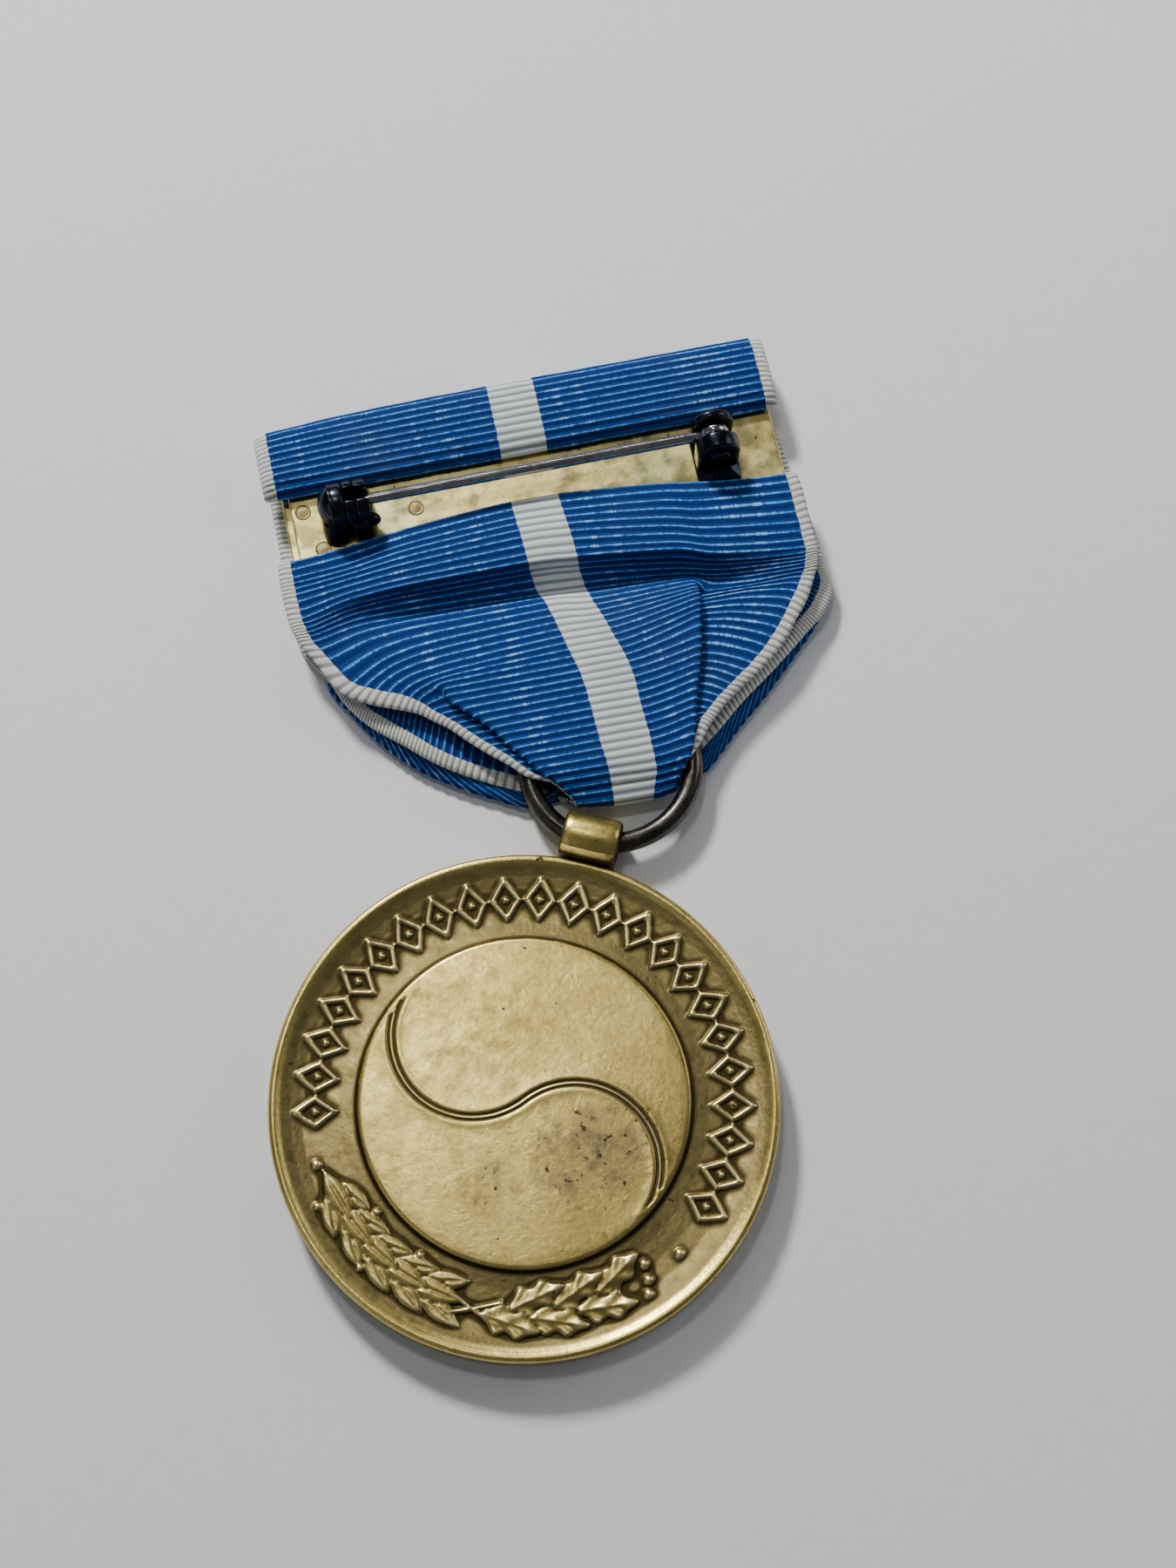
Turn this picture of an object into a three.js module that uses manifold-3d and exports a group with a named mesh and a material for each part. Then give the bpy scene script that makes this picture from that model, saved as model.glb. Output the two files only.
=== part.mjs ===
// A military service medal: a struck bronze medallion that hangs by a lug and a jump ring from a folded
// ribbon, which is wrapped round a brass brooch with a hinged pin and a turning safety catch.
// It lies face down with its pin side up. Millimetres, +Z up, +Y from the medallion towards the brooch.
// The origin is the centre of the medallion's front face, which rests on z = 0.
import * as THREE from "three";
import { mergeVertices } from "three/addons/utils/BufferGeometryUtils.js";
import Module from "manifold-3d";

const wasm = await Module();
wasm.setup();

// ---- Driving dimensions -------------------------------------------------------------------------
const INCH = 25.4;
const MEDALLION_RADIUS = (1.25 * INCH) / 2; // a full-size service medal is 1 1/4 in across
const RIBBON_WIDTH = 1.375 * INCH; // and hangs from a ribbon 1 3/8 in wide
const MEDALLION_THICKNESS = 2.6;
const MEDALLION_TURN = THREE.MathUtils.degToRad(-25.6); // how far the medallion hangs askew in the plane

const RING_WIRE = 0.67; // radius of the jump ring's wire
const RING_RADIUS = 5.42; // to the middle of the wire
const RING_SPLIT = 0.14; // the butt joint where the ring was closed
const SPLIT_TURN = THREE.MathUtils.degToRad(99); // where that joint lies, inside the ribbon's loop
const LUG_RADIUS = 1.6; // outside of the lug's barrel
const LUG_BORE = 1.02;
const LUG_WIDTH = 3.6;
const LUG_GAP = 0.05; // between the lug's foot and the medallion's edge
const LUG_RISE = 0.12; // the wire bows away from the middle of the bore, so it starts this far below it
const HANG_Z = LUG_RADIUS; // height of the lug's bore and of the ring's plane

const BROOCH_X = 8.7; // middle of the ribbon-covered brooch
const BROOCH_TOP = 48.7;
const STRIP_EDGE = 43.4; // lower edge of the strip of ribbon that wraps over the top
const LEAF_EDGE = 38.1; // upper edge of the back leaf, where it leaves the brooch
const PLATE = { left: -7.4, right: 25.9, low: 36.7, high: 47.9, bottom: 1.6, top: 2.1 };
const BAR = { left: -7.9, right: 25.5, low: 37.0, high: 48.0, bottom: 0.45, top: 1.55 };
const RIVET = { head: 0.5, headHeight: 0.12, shank: 0.28, hole: 0.34 };
const RIVETS = [[-6.6, 42.2], [-5.7, 39.3], [0.9, 41.0]];

const SEAT = 0.03; // the gap left where one piece is seated on another

const CLOTH = 0.4; // one layer of ribbon
const FOLDED = 0.75; // the front leaf with its sides folded in behind it
const BACK_LOW = 2.45; // underside of the back leaf where it lies over the ring
const BACK_HIGH = 3.0;
const FLEX_Y = 28.3; // the line across the drape where the cloth bends
const FLEX_UPPER = 1.5; // how far above that line the fixed cloth ends, so that both sides can turn
const FLEX_LOWER = 0.65; // and how far below it the swinging cloth begins

const PIN_Z = 4.3; // height of the pin, its hinge and its catch
const PIN_WIRE = 0.38;
const HINGE = { x: 21.45, y: 41.25, ear: 1.4, hole: 0.44, rivet: 0.36, foot: 0.4 };
const HINGE_EARS = [[39.6, 40.75], [41.75, 42.35]]; // a thick ear and a thin one, either side of the pin
const CATCH = { left: -5.5, y: 41.2, radius: 1.45, flare: 1.85, bore: 0.55, hub: 0.85, slot: 0.95 };
const ROTOR = { left: -3.65, right: -2.1, inner: 0.93, outer: 1.4, tab: 0.6 };
const PIN_TIP = ROTOR.left + 0.05;

const ROUND = 48; // facets round the medallion
const SMALL_ROUND = 16; // facets round pins, holes and other small cylinders

// ---- Materials ----------------------------------------------------------------------------------
const finish = (color, roughness, metalness) =>
  new THREE.MeshStandardMaterial({ color, roughness, metalness });
const bronze = finish(0x8f7a45, 0.42, 1.0);
const brass = finish(0xb9a866, 0.35, 1.0);
const blackSteel = finish(0x15171c, 0.35, 0.8);
const darkSteel = finish(0x4a4844, 0.4, 1.0);
const ribbon = finish(0x0a4fa8, 0.6, 0.0);

// ---- Geometry helpers ---------------------------------------------------------------------------
// A closed three.js geometry as a manifold-3d solid, for cuts and joins.
function solid(geometry) {
  const bare = geometry.index ? geometry.toNonIndexed() : geometry.clone();
  bare.deleteAttribute("normal");
  bare.deleteAttribute("uv");
  const merged = mergeVertices(bare, 1e-4);
  return new wasm.Manifold(new wasm.Mesh({
    numProp: 3,
    vertProperties: merged.attributes.position.array,
    triVerts: new Uint32Array(merged.index.array),
  }));
}

// A manifold-3d solid as a three.js geometry.
function geometryOf(made) {
  const { vertProperties, triVerts } = made.getMesh();
  const geometry = new THREE.BufferGeometry();
  geometry.setAttribute("position", new THREE.BufferAttribute(new Float32Array(vertProperties), 3));
  geometry.setIndex(new THREE.BufferAttribute(new Uint32Array(triVerts), 1));
  return geometry.toNonIndexed();
}

const shapeOf = (points) => new THREE.Shape(points.map(([x, y]) => new THREE.Vector2(x, y)));

// A flat outline in XY, from z = low to z = high.
function slab(points, low, high) {
  const made = new THREE.ExtrudeGeometry(shapeOf(points), { depth: high - low, bevelEnabled: false });
  return made.translate(0, 0, low);
}

// A profile in YZ, drawn out along X.
function alongX(points, left, right) {
  const made = new THREE.ExtrudeGeometry(shapeOf(points), { depth: right - left, bevelEnabled: false });
  const turn = new THREE.Matrix4().makeBasis(
    new THREE.Vector3(0, 1, 0), new THREE.Vector3(0, 0, 1), new THREE.Vector3(1, 0, 0));
  return made.applyMatrix4(turn).translate(left, 0, 0);
}

function block(x0, x1, y0, y1, z0, z1) {
  const made = new THREE.BoxGeometry(x1 - x0, y1 - y0, z1 - z0);
  return made.translate((x0 + x1) / 2, (y0 + y1) / 2, (z0 + z1) / 2);
}

// Round bars along each axis, given by their two ends on that axis and the other two coordinates.
function rodX(radius, x0, x1, y, z) {
  const made = new THREE.CylinderGeometry(radius, radius, x1 - x0, SMALL_ROUND);
  return made.rotateZ(Math.PI / 2).translate((x0 + x1) / 2, y, z);
}

function rodY(radius, y0, y1, x, z) {
  return new THREE.CylinderGeometry(radius, radius, y1 - y0, SMALL_ROUND).translate(x, (y0 + y1) / 2, z);
}

function rodZ(radius, z0, z1, x, y) {
  const made = new THREE.CylinderGeometry(radius, radius, z1 - z0, SMALL_ROUND);
  return made.rotateX(Math.PI / 2).translate(x, y, (z0 + z1) / 2);
}

const join = (...geometries) => geometries.map(solid).reduce((a, b) => a.add(b));
const cut = (from, ...geometries) => geometries.map(solid).reduce((a, b) => a.subtract(b), from);

function part(name, geometry, material) {
  const mesh = new THREE.Mesh(geometry.isBufferGeometry ? geometry : geometryOf(geometry), material);
  mesh.name = name;
  return mesh;
}

// ---- Medallion, lug and ring ----------------------------------------------------------------------
// The struck disc, turned from its profile: a flat boss and a rim on the front, which it rests on, and
// on the back a raised plain disc inside a dished border with a narrow rim.
function medallionDisc() {
  const R = MEDALLION_RADIUS;
  const T = MEDALLION_THICKNESS;
  const front = [[0, 0], [6.0, 0], [6.4, 0.35], [R - 1.5, 0.35], [R - 0.9, 0], [R - 0.25, 0]];
  const edge = [[R, 0.25], [R, T - 0.25], [R - 0.25, T]];
  const dish = [[R - 0.6, T], [R - 1.3, T - 0.42], [12.6, T - 0.5], [10.6, T - 0.42]];
  const back = [...dish, [10.3, T - 0.1], [0, T - 0.1]];
  const profile = [...front, ...edge, ...back].map(([r, z]) => new THREE.Vector2(r, z));
  return new THREE.LatheGeometry(profile, ROUND).rotateX(Math.PI / 2);
}

// The barrel-shaped lug on the medallion's edge, bored along X for the ring. Its foot is flat.
function suspensionLug(boreY) {
  const half = LUG_WIDTH / 2;
  const foot = MEDALLION_RADIUS + LUG_GAP;
  const barrel = rodX(LUG_RADIUS, -half, half, boreY, HANG_Z);
  const neck = alongX(
    [[foot, HANG_Z - 1.05], [boreY, HANG_Z - 1.2], [boreY, HANG_Z + 1.2], [foot, HANG_Z + 1.05]],
    -half - 0.1, half + 0.1);
  return cut(join(barrel, neck), rodX(LUG_BORE, -half - 1, half + 1, boreY, HANG_Z));
}

function suspensionRing() {
  const torus = new THREE.TorusGeometry(RING_RADIUS, RING_WIRE, 12, 56);
  const split = block(RING_RADIUS - 1, RING_RADIUS + 1, -RING_SPLIT / 2, RING_SPLIT / 2, -1, 1);
  return cut(solid(torus), split.rotateZ(SPLIT_TURN));
}

// ---- Ribbon ---------------------------------------------------------------------------------------
const leftEdge = BROOCH_X - RIBBON_WIDTH / 2;
const rightEdge = BROOCH_X + RIBBON_WIDTH / 2;
const flexTop = FLEX_Y + FLEX_UPPER;
const flexLow = FLEX_Y - FLEX_LOWER;

// The drape narrows from the ribbon's full width to the fold that passes through the ring. Each
// outline runs down the left side, round the bottom fold and up the right side.
const bottomFold = [[7.0, 18.9], [8.8, 17.9], [10.0, 17.55], [11.4, 17.7], [12.6, 18.3]];
const frontOutline = [
  [leftEdge, BROOCH_TOP - 0.55], [leftEdge, 33.4], [-7.6, 31.6], [-6.5, 29.1], [-4.6, 25.9],
  [-2.6, 23.5], [0, 21.6], [2.3, 20.2], [4.6, 19.6], ...bottomFold, [15.3, 19.7], [18.0, 20.8],
  [19.0, 21.5], [24.2, 26.0], [26.8, 28.6], [27.2, 31.0], [26.6, 36.0],
  [rightEdge, 39.0], [rightEdge, BROOCH_TOP - 0.55]];
const backOutline = [
  [leftEdge, LEAF_EDGE], [leftEdge + 0.1, 35.0], [-7.8, 32.7], [-6.4, 29.9], [-4.4, 28.2],
  [-0.9, 26.2], [2.7, 22.3], [4.9, 20.2], ...bottomFold, [15.3, 20.0], [16.0, 21.3],
  [19.9, 23.7], [22.9, 26.3], [25.4, 31.3], [rightEdge - 0.2, 35.0], [rightEdge - 0.2, LEAF_EDGE]];

const above = (y) => block(-20, 40, y, 60, -1, 8);
const below = (y) => block(-20, 40, 0, y, -1, 8);

// The front leaf: one layer under the brooch, and thicker below it, where the sides are folded in.
function ribbonFrontLeaf() {
  const drape = solid(slab(frontOutline, 0, FOLDED)).intersect(solid(above(flexTop)));
  const room = block(-20, 40, PLATE.low - 0.4, 60, CLOTH, 8);
  return cut(drape, room);
}

// The ribbon turned over the brooch's top edge, ending in a hemmed strip on the back.
function ribbonTopWrap() {
  const inside = BAR.high + 0.2;
  const top = 3.3;
  return alongX(
    [[inside, 0], [BROOCH_TOP - 0.25, 0], [BROOCH_TOP, 0.3], [BROOCH_TOP, top - 0.5], [BROOCH_TOP - 0.5, top],
      [STRIP_EDGE + 0.5, top], [STRIP_EDGE, top - 0.4], [STRIP_EDGE + 0.1, PLATE.top + 0.1],
      [inside, PLATE.top + 0.1]],
    leftEdge, rightEdge);
}

// The back leaf: it laps over the plate's lower edge, dips below the brooch and rises again to the ring.
function ribbonBackLeaf() {
  const profile = [
    [LEAF_EDGE, 2.15], [LEAF_EDGE, 2.75], [LEAF_EDGE - 0.5, 3.1], [35.2, 3.1], [33.4, 2.4], [31.4, 3.1],
    [flexTop, BACK_HIGH], [flexTop, BACK_LOW], [31.2, 2.5], [33.4, 1.7], [35.6, 2.15]];
  const sheet = alongX(profile, -20, 40);
  return solid(sheet).intersect(solid(slab(backOutline, -1, 8)));
}

// The ribbon's lower end, which passes through the ring: two leaves joined by the bottom fold.
function ribbonLoop() {
  const front = solid(slab(frontOutline, 0, FOLDED)).intersect(solid(below(flexLow)));
  const back = solid(slab(backOutline, BACK_LOW, BACK_HIGH)).intersect(solid(below(flexLow)));
  const inside = [[13.0, 18.8], [11.4, 18.5], [10.0, 18.4], [8.8, 18.7], [7.0, 19.2]];
  const fold = solid(slab([...bottomFold, ...inside], 0, BACK_HIGH));
  return front.add(back).add(fold);
}

// ---- Brooch ---------------------------------------------------------------------------------------
const rivetHoles = () => RIVETS.map(([x, y]) => rodZ(RIVET.hole, 0, 3, x, y));

function carrierBar() {
  return cut(solid(block(BAR.left, BAR.right, BAR.low, BAR.high, BAR.bottom, BAR.top)), ...rivetHoles());
}

function backPlate() {
  const sheet = block(PLATE.left, PLATE.right, PLATE.low, PLATE.high, PLATE.bottom, PLATE.top);
  return cut(solid(sheet), ...rivetHoles());
}

function plateRivet([x, y]) {
  const low = PLATE.top + SEAT;
  const head = rodZ(RIVET.head, low, low + RIVET.headHeight, x, y);
  return join(head, rodZ(RIVET.shank, BAR.bottom, low + RIVET.headHeight / 2, x, y));
}

// The hinge: a foot with a thin upper ear and a thick lower one, bored for the pivot.
function hingeBase() {
  const { x, ear, hole, foot } = HINGE;
  const low = PLATE.top + SEAT;
  const [[start], [, end]] = HINGE_EARS;
  const base = block(x - ear - 0.1, x + ear + 0.1, start - 1.2, end + 0.4, low, low + foot);
  const ears = HINGE_EARS.flatMap(([y0, y1]) => [
    rodY(ear, y0, y1, x, PIN_Z),
    block(x - ear, x + ear, y0, y1, low, PIN_Z)]);
  return cut(join(base, ...ears), rodY(hole, start - 1, end + 1, x, PIN_Z));
}

// The pivot, headed over outside both ears.
function hingeRivet() {
  const { x, rivet } = HINGE;
  const [[start], [, end]] = HINGE_EARS;
  const heads = [[end + SEAT, end + 0.2], [start - 0.2, start - SEAT]];
  return join(rodY(rivet, start - 0.15, end + 0.15, x, PIN_Z),
    ...heads.map(([y0, y1]) => rodY(2 * rivet, y0, y1, x, PIN_Z)));
}

// The pin: an eye round the pivot, and a straight wire that tapers to a point inside the catch.
function pinStem() {
  const { x, y, hole } = HINGE;
  const eye = rodY(1.0, y - 0.35, y + 0.35, x, PIN_Z);
  const start = new THREE.Vector3(x - 0.7, y, PIN_Z);
  const end = new THREE.Vector3(PIN_TIP, CATCH.y, PIN_Z);
  const length = start.distanceTo(end);
  const taper = 5;
  const profile = [[0, 0], [PIN_WIRE, 0], [PIN_WIRE, length - taper], [0.1, length - 0.2], [0, length]];
  const wire = new THREE.LatheGeometry(profile.map(([r, h]) => new THREE.Vector2(r, h)), 10);
  const along = end.clone().sub(start).normalize();
  wire.applyQuaternion(new THREE.Quaternion().setFromUnitVectors(new THREE.Vector3(0, 1, 0), along));
  wire.translate(start.x, start.y, start.z);
  return cut(join(eye, wire), rodY(hole, y - 1, y + 1, x, PIN_Z));
}

// The catch's fixed half: a blind barrel on a flared foot, and a thinner slotted hub that the rotor
// turns on. The pin drops into the hub from above.
function catchBody() {
  const { left, y, radius, flare, bore, hub, slot } = CATCH;
  const low = PLATE.top + SEAT;
  const shoulder = ROTOR.left - 0.1;
  const end = ROTOR.right - 0.1;
  const barrel = rodX(radius, left, shoulder, y, PIN_Z);
  const foot = alongX(
    [[y - flare, low], [y - radius, PIN_Z], [y + radius, PIN_Z], [y + flare, low]], left, shoulder);
  const flange = block(left, end, y - radius, y + radius, low, low + HINGE.foot);
  const body = join(barrel, foot, flange, rodX(hub, shoulder - 0.5, end, y, PIN_Z));
  const mouth = block(shoulder, 0, y - slot / 2, y + slot / 2, PIN_Z, PIN_Z + 4);
  return cut(body, rodX(bore, shoulder, 0, y, PIN_Z), mouth);
}

// The rotor: a slotted sleeve with a thumb tab. Turning it shuts the slot over the pin.
function catchRotor() {
  const { y, slot } = CATCH;
  const { inner, outer, left, right, tab } = ROTOR;
  const reach = y - outer - tab;
  const root = y - (inner + outer) / 2;
  const thumb = alongX(
    [[root, PIN_Z - 0.75], [root, PIN_Z + 0.35], [reach, PIN_Z - 0.2], [reach, PIN_Z - 0.65]],
    right - 0.4, right + tab);
  const mouth = block(left - 1, right + 1, y - slot / 2, y + slot / 2, PIN_Z, PIN_Z + 4);
  const sleeve = join(rodX(outer, left, right, y, PIN_Z), thumb);
  return cut(sleeve, rodX(inner, left - 1, right + 1, y, PIN_Z), mouth);
}

// ---- Assembly -------------------------------------------------------------------------------------
const boreY = MEDALLION_RADIUS + LUG_GAP + 1.72;
const ringY = boreY - LUG_RISE + RING_RADIUS;

const pendant = new THREE.Group();
pendant.rotation.z = MEDALLION_TURN;
pendant.add(part("medallion_disc", medallionDisc(), bronze));
pendant.add(part("suspension_lug", suspensionLug(boreY), bronze));
const ring = part("suspension_ring", suspensionRing(), darkSteel);
ring.position.set(0, ringY, HANG_Z);
pendant.add(ring);

const brooch = new THREE.Group();
brooch.add(part("carrier_bar", carrierBar(), brass));
brooch.add(part("back_plate", backPlate(), brass));
RIVETS.forEach((at, i) => brooch.add(part("plate_rivet_" + (i + 1), plateRivet(at), brass)));
brooch.add(part("hinge_base", hingeBase(), blackSteel));
brooch.add(part("hinge_rivet", hingeRivet(), darkSteel));
brooch.add(part("pin_stem", pinStem(), darkSteel));
brooch.add(part("catch_body", catchBody(), blackSteel));
brooch.add(part("catch_rotor", catchRotor(), blackSteel));

const cloth = new THREE.Group();
cloth.add(part("ribbon_top_wrap", ribbonTopWrap(), ribbon));
cloth.add(part("ribbon_front_leaf", ribbonFrontLeaf(), ribbon));
cloth.add(part("ribbon_back_leaf", ribbonBackLeaf(), ribbon));
cloth.add(part("ribbon_loop", ribbonLoop(), ribbon));

const medal = new THREE.Group();
medal.add(pendant, brooch, cloth);

export default medal;
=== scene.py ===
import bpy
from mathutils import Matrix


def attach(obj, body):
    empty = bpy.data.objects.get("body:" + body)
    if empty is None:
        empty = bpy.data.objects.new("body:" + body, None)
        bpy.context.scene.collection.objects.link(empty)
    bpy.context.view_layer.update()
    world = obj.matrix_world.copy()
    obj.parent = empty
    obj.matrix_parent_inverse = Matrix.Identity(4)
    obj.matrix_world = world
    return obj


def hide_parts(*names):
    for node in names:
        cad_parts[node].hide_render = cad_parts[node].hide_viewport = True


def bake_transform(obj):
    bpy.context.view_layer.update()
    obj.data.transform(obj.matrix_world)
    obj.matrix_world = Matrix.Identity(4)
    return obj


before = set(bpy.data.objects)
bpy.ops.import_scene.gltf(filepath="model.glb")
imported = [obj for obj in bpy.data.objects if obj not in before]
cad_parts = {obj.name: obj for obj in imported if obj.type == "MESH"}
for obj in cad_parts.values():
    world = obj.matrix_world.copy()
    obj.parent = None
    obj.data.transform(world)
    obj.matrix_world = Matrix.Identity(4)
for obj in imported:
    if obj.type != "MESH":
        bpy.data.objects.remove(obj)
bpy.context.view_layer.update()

import math
import bpy
import numpy as np
from mathutils import Matrix, Vector, geometry

MM = 0.001
TILT = math.radians(25.6)
UP = np.array([math.sin(TILT), math.cos(TILT), 0.0])
SIDE = np.array([math.cos(TILT), -math.sin(TILT), 0.0])
SCENE = bpy.context.scene.collection


# ------ camera, light, floor
def camera():
    data = bpy.data.cameras.new("camera")
    data.lens = 54
    data.sensor_width = 36
    data.clip_start = 0.01
    data.clip_end = 5
    forward = Vector((0.074, 0.305, -0.950)).normalized()
    up = Vector((0.195, 0.929, 0.313))
    right = forward.cross(up).normalized()
    up = right.cross(forward)
    turn = Matrix((right, up, -forward)).transposed().to_4x4()
    eye = bpy.data.objects.new("camera", data)
    eye.matrix_world = Matrix.Translation(Vector((-3.1, -27.0, 146.8)) * MM) @ turn
    SCENE.objects.link(eye)
    bpy.context.scene.camera = eye


def area_light(name, place, aim, size, power, colour, depth=None):
    data = bpy.data.lights.new(name, "AREA")
    data.shape = "RECTANGLE" if depth else "DISK"
    data.size = size
    if depth:
        data.size_y = depth
    data.energy = power
    data.color = colour
    lamp = bpy.data.objects.new(name, data)
    lamp.location = place
    lamp.rotation_euler = (Vector(aim) - Vector(place)).to_track_quat("-Z", "Y").to_euler()
    SCENE.objects.link(lamp)


def studio():
    aim = (0.005, 0.02, 0)
    area_light("key", (-0.08, 0.36, 0.28), aim, 0.07, 2.2, (1, 0.985, 0.95))
    area_light("overhead", (-0.030, 0.115, 0.38), aim, 0.045, 0.17, (1, 0.985, 0.96))
    area_light("strip", (0.01, 0.34, 0.30), aim, 0.26, 0.17, (1, 0.99, 0.97), 0.010)
    area_light("fill", (-0.32, -0.14, 0.24), aim, 0.30, 0.09, (0.90, 0.95, 1))
    area_light("rim", (0.32, 0.10, 0.18), aim, 0.20, 0.20, (1, 1, 1))
    world = bpy.data.worlds.new("studio")
    world.use_nodes = True
    world.node_tree.nodes["Background"].inputs[0].default_value = (0.72, 0.76, 0.82, 1)
    world.node_tree.nodes["Background"].inputs[1].default_value = 0.15
    bpy.context.scene.world = world


# ------ mesh building
def quads(rows, cols, wrap_rows=False, wrap_cols=False, first=0, flip=False):
    r = np.arange(rows if wrap_rows else rows - 1)[:, None]
    c = np.arange(cols if wrap_cols else cols - 1)[None, :]
    r2, c2 = (r + 1) % rows, (c + 1) % cols
    q = np.stack([r * cols + c, r * cols + c2, r2 * cols + c2, r2 * cols + c], -1)
    q = q.reshape(-1, 4) + first
    return q[:, ::-1] if flip else q


def build(name, points, faces, material, body=None, smooth=True, **values):
    """A mesh from points in millimetres, with float values kept on its points."""
    mesh = bpy.data.meshes.new(name)
    mesh.from_pydata((np.asarray(points, float) * MM).tolist(), [], [list(f) for f in faces])
    for key, value in values.items():
        layer = mesh.attributes.new(key, "FLOAT", "POINT")
        layer.data.foreach_set("value", np.asarray(value, np.float32).ravel())
    if smooth:
        mesh.polygons.foreach_set("use_smooth", [True] * len(mesh.polygons))
    mesh.materials.append(material)
    mesh.validate()
    obj = bpy.data.objects.new(name, mesh)
    SCENE.objects.link(obj)
    if body:
        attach(obj, body)
    return obj


def lathe(profile, centre, axis, turns):
    """Points and faces of a profile of (radius, along) turned about an axis."""
    axis = np.asarray(axis, float) / np.linalg.norm(axis)
    side = np.cross(axis, [0.3, 0.5, 0.8])
    side /= np.linalg.norm(side)
    other = np.cross(axis, side)
    a = np.linspace(0, 2 * math.pi, turns, endpoint=False)
    ring = np.cos(a)[:, None] * side + np.sin(a)[:, None] * other
    points = [np.asarray(centre) + r * ring + h * axis for r, h in profile]
    return np.concatenate(points), quads(len(profile), turns, wrap_cols=True, flip=True)


def tube(line, radius, sides):
    """Points and faces of a closed tube along a line, with a radius at each of its points."""
    line = np.asarray(line, float)
    radius = np.asarray(radius, float)
    ahead = np.gradient(line, axis=0)
    ahead /= np.linalg.norm(ahead, axis=1)[:, None]
    across = np.cross(ahead, (0.0, 0.0, 1.0))
    across /= np.linalg.norm(across, axis=1)[:, None]
    over = np.cross(across, ahead)
    a = np.linspace(0, 2 * math.pi, sides, endpoint=False)
    ring = np.cos(a)[None, :, None] * across[:, None] + np.sin(a)[None, :, None] * over[:, None]
    points = (line[:, None] + radius[:, None, None] * ring).reshape(-1, 3)
    faces = [list(f) for f in quads(len(line), sides, wrap_cols=True)]
    last = (len(line) - 1) * sides
    faces.append(list(range(sides))[::-1])
    faces.append(list(range(last, last + sides)))
    return points, faces


def skin(top, bottom):
    """Points and faces of a closed sheet, from the grids of points on its two sides."""
    rows, cols = top.shape[:2]
    count = rows * cols
    faces = quads(rows, cols).tolist() + quads(rows, cols, first=count, flip=True).tolist()
    loop = list(range(cols)) + [i * cols + cols - 1 for i in range(1, rows)]
    loop += [(rows - 1) * cols + j for j in range(cols - 2, -1, -1)]
    loop += [i * cols for i in range(rows - 2, 0, -1)]
    for here, there in zip(loop, loop[1:] + loop[:1]):
        faces.append([here, here + count, there + count, there])
    return np.concatenate([top.reshape(-1, 3), bottom.reshape(-1, 3)]), faces


def pchip(x, y, t):
    """Smooth curve without overshoot through y (first axis) at x, read at t."""
    h = np.diff(x)
    shape = (-1,) + (1,) * (y.ndim - 1)
    d = np.diff(y, axis=0) / h.reshape(shape)
    m = np.zeros_like(y)
    m[0], m[-1] = d[0], d[-1]
    w1 = (2 * h[1:] + h[:-1]).reshape(shape)
    w2 = (h[1:] + 2 * h[:-1]).reshape(shape)
    a, b = d[:-1], d[1:]
    same = a * b > 1e-12
    safe_a, safe_b = np.where(same, a, 1), np.where(same, b, 1)
    m[1:-1] = np.where(same, (w1 + w2) / (w1 / safe_a + w2 / safe_b), 0)
    i = np.clip(np.searchsorted(x, t, side="right") - 1, 0, len(x) - 2)
    s = ((t - x[i]) / h[i]).reshape(shape)
    k = h[i].reshape(shape)
    return (
        (1 + 2 * s) * (1 - s) ** 2 * y[i]
        + s * (1 - s) ** 2 * k * m[i]
        + s * s * (3 - 2 * s) * y[i + 1]
        + s * s * (s - 1) * k * m[i + 1]
    )


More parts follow.
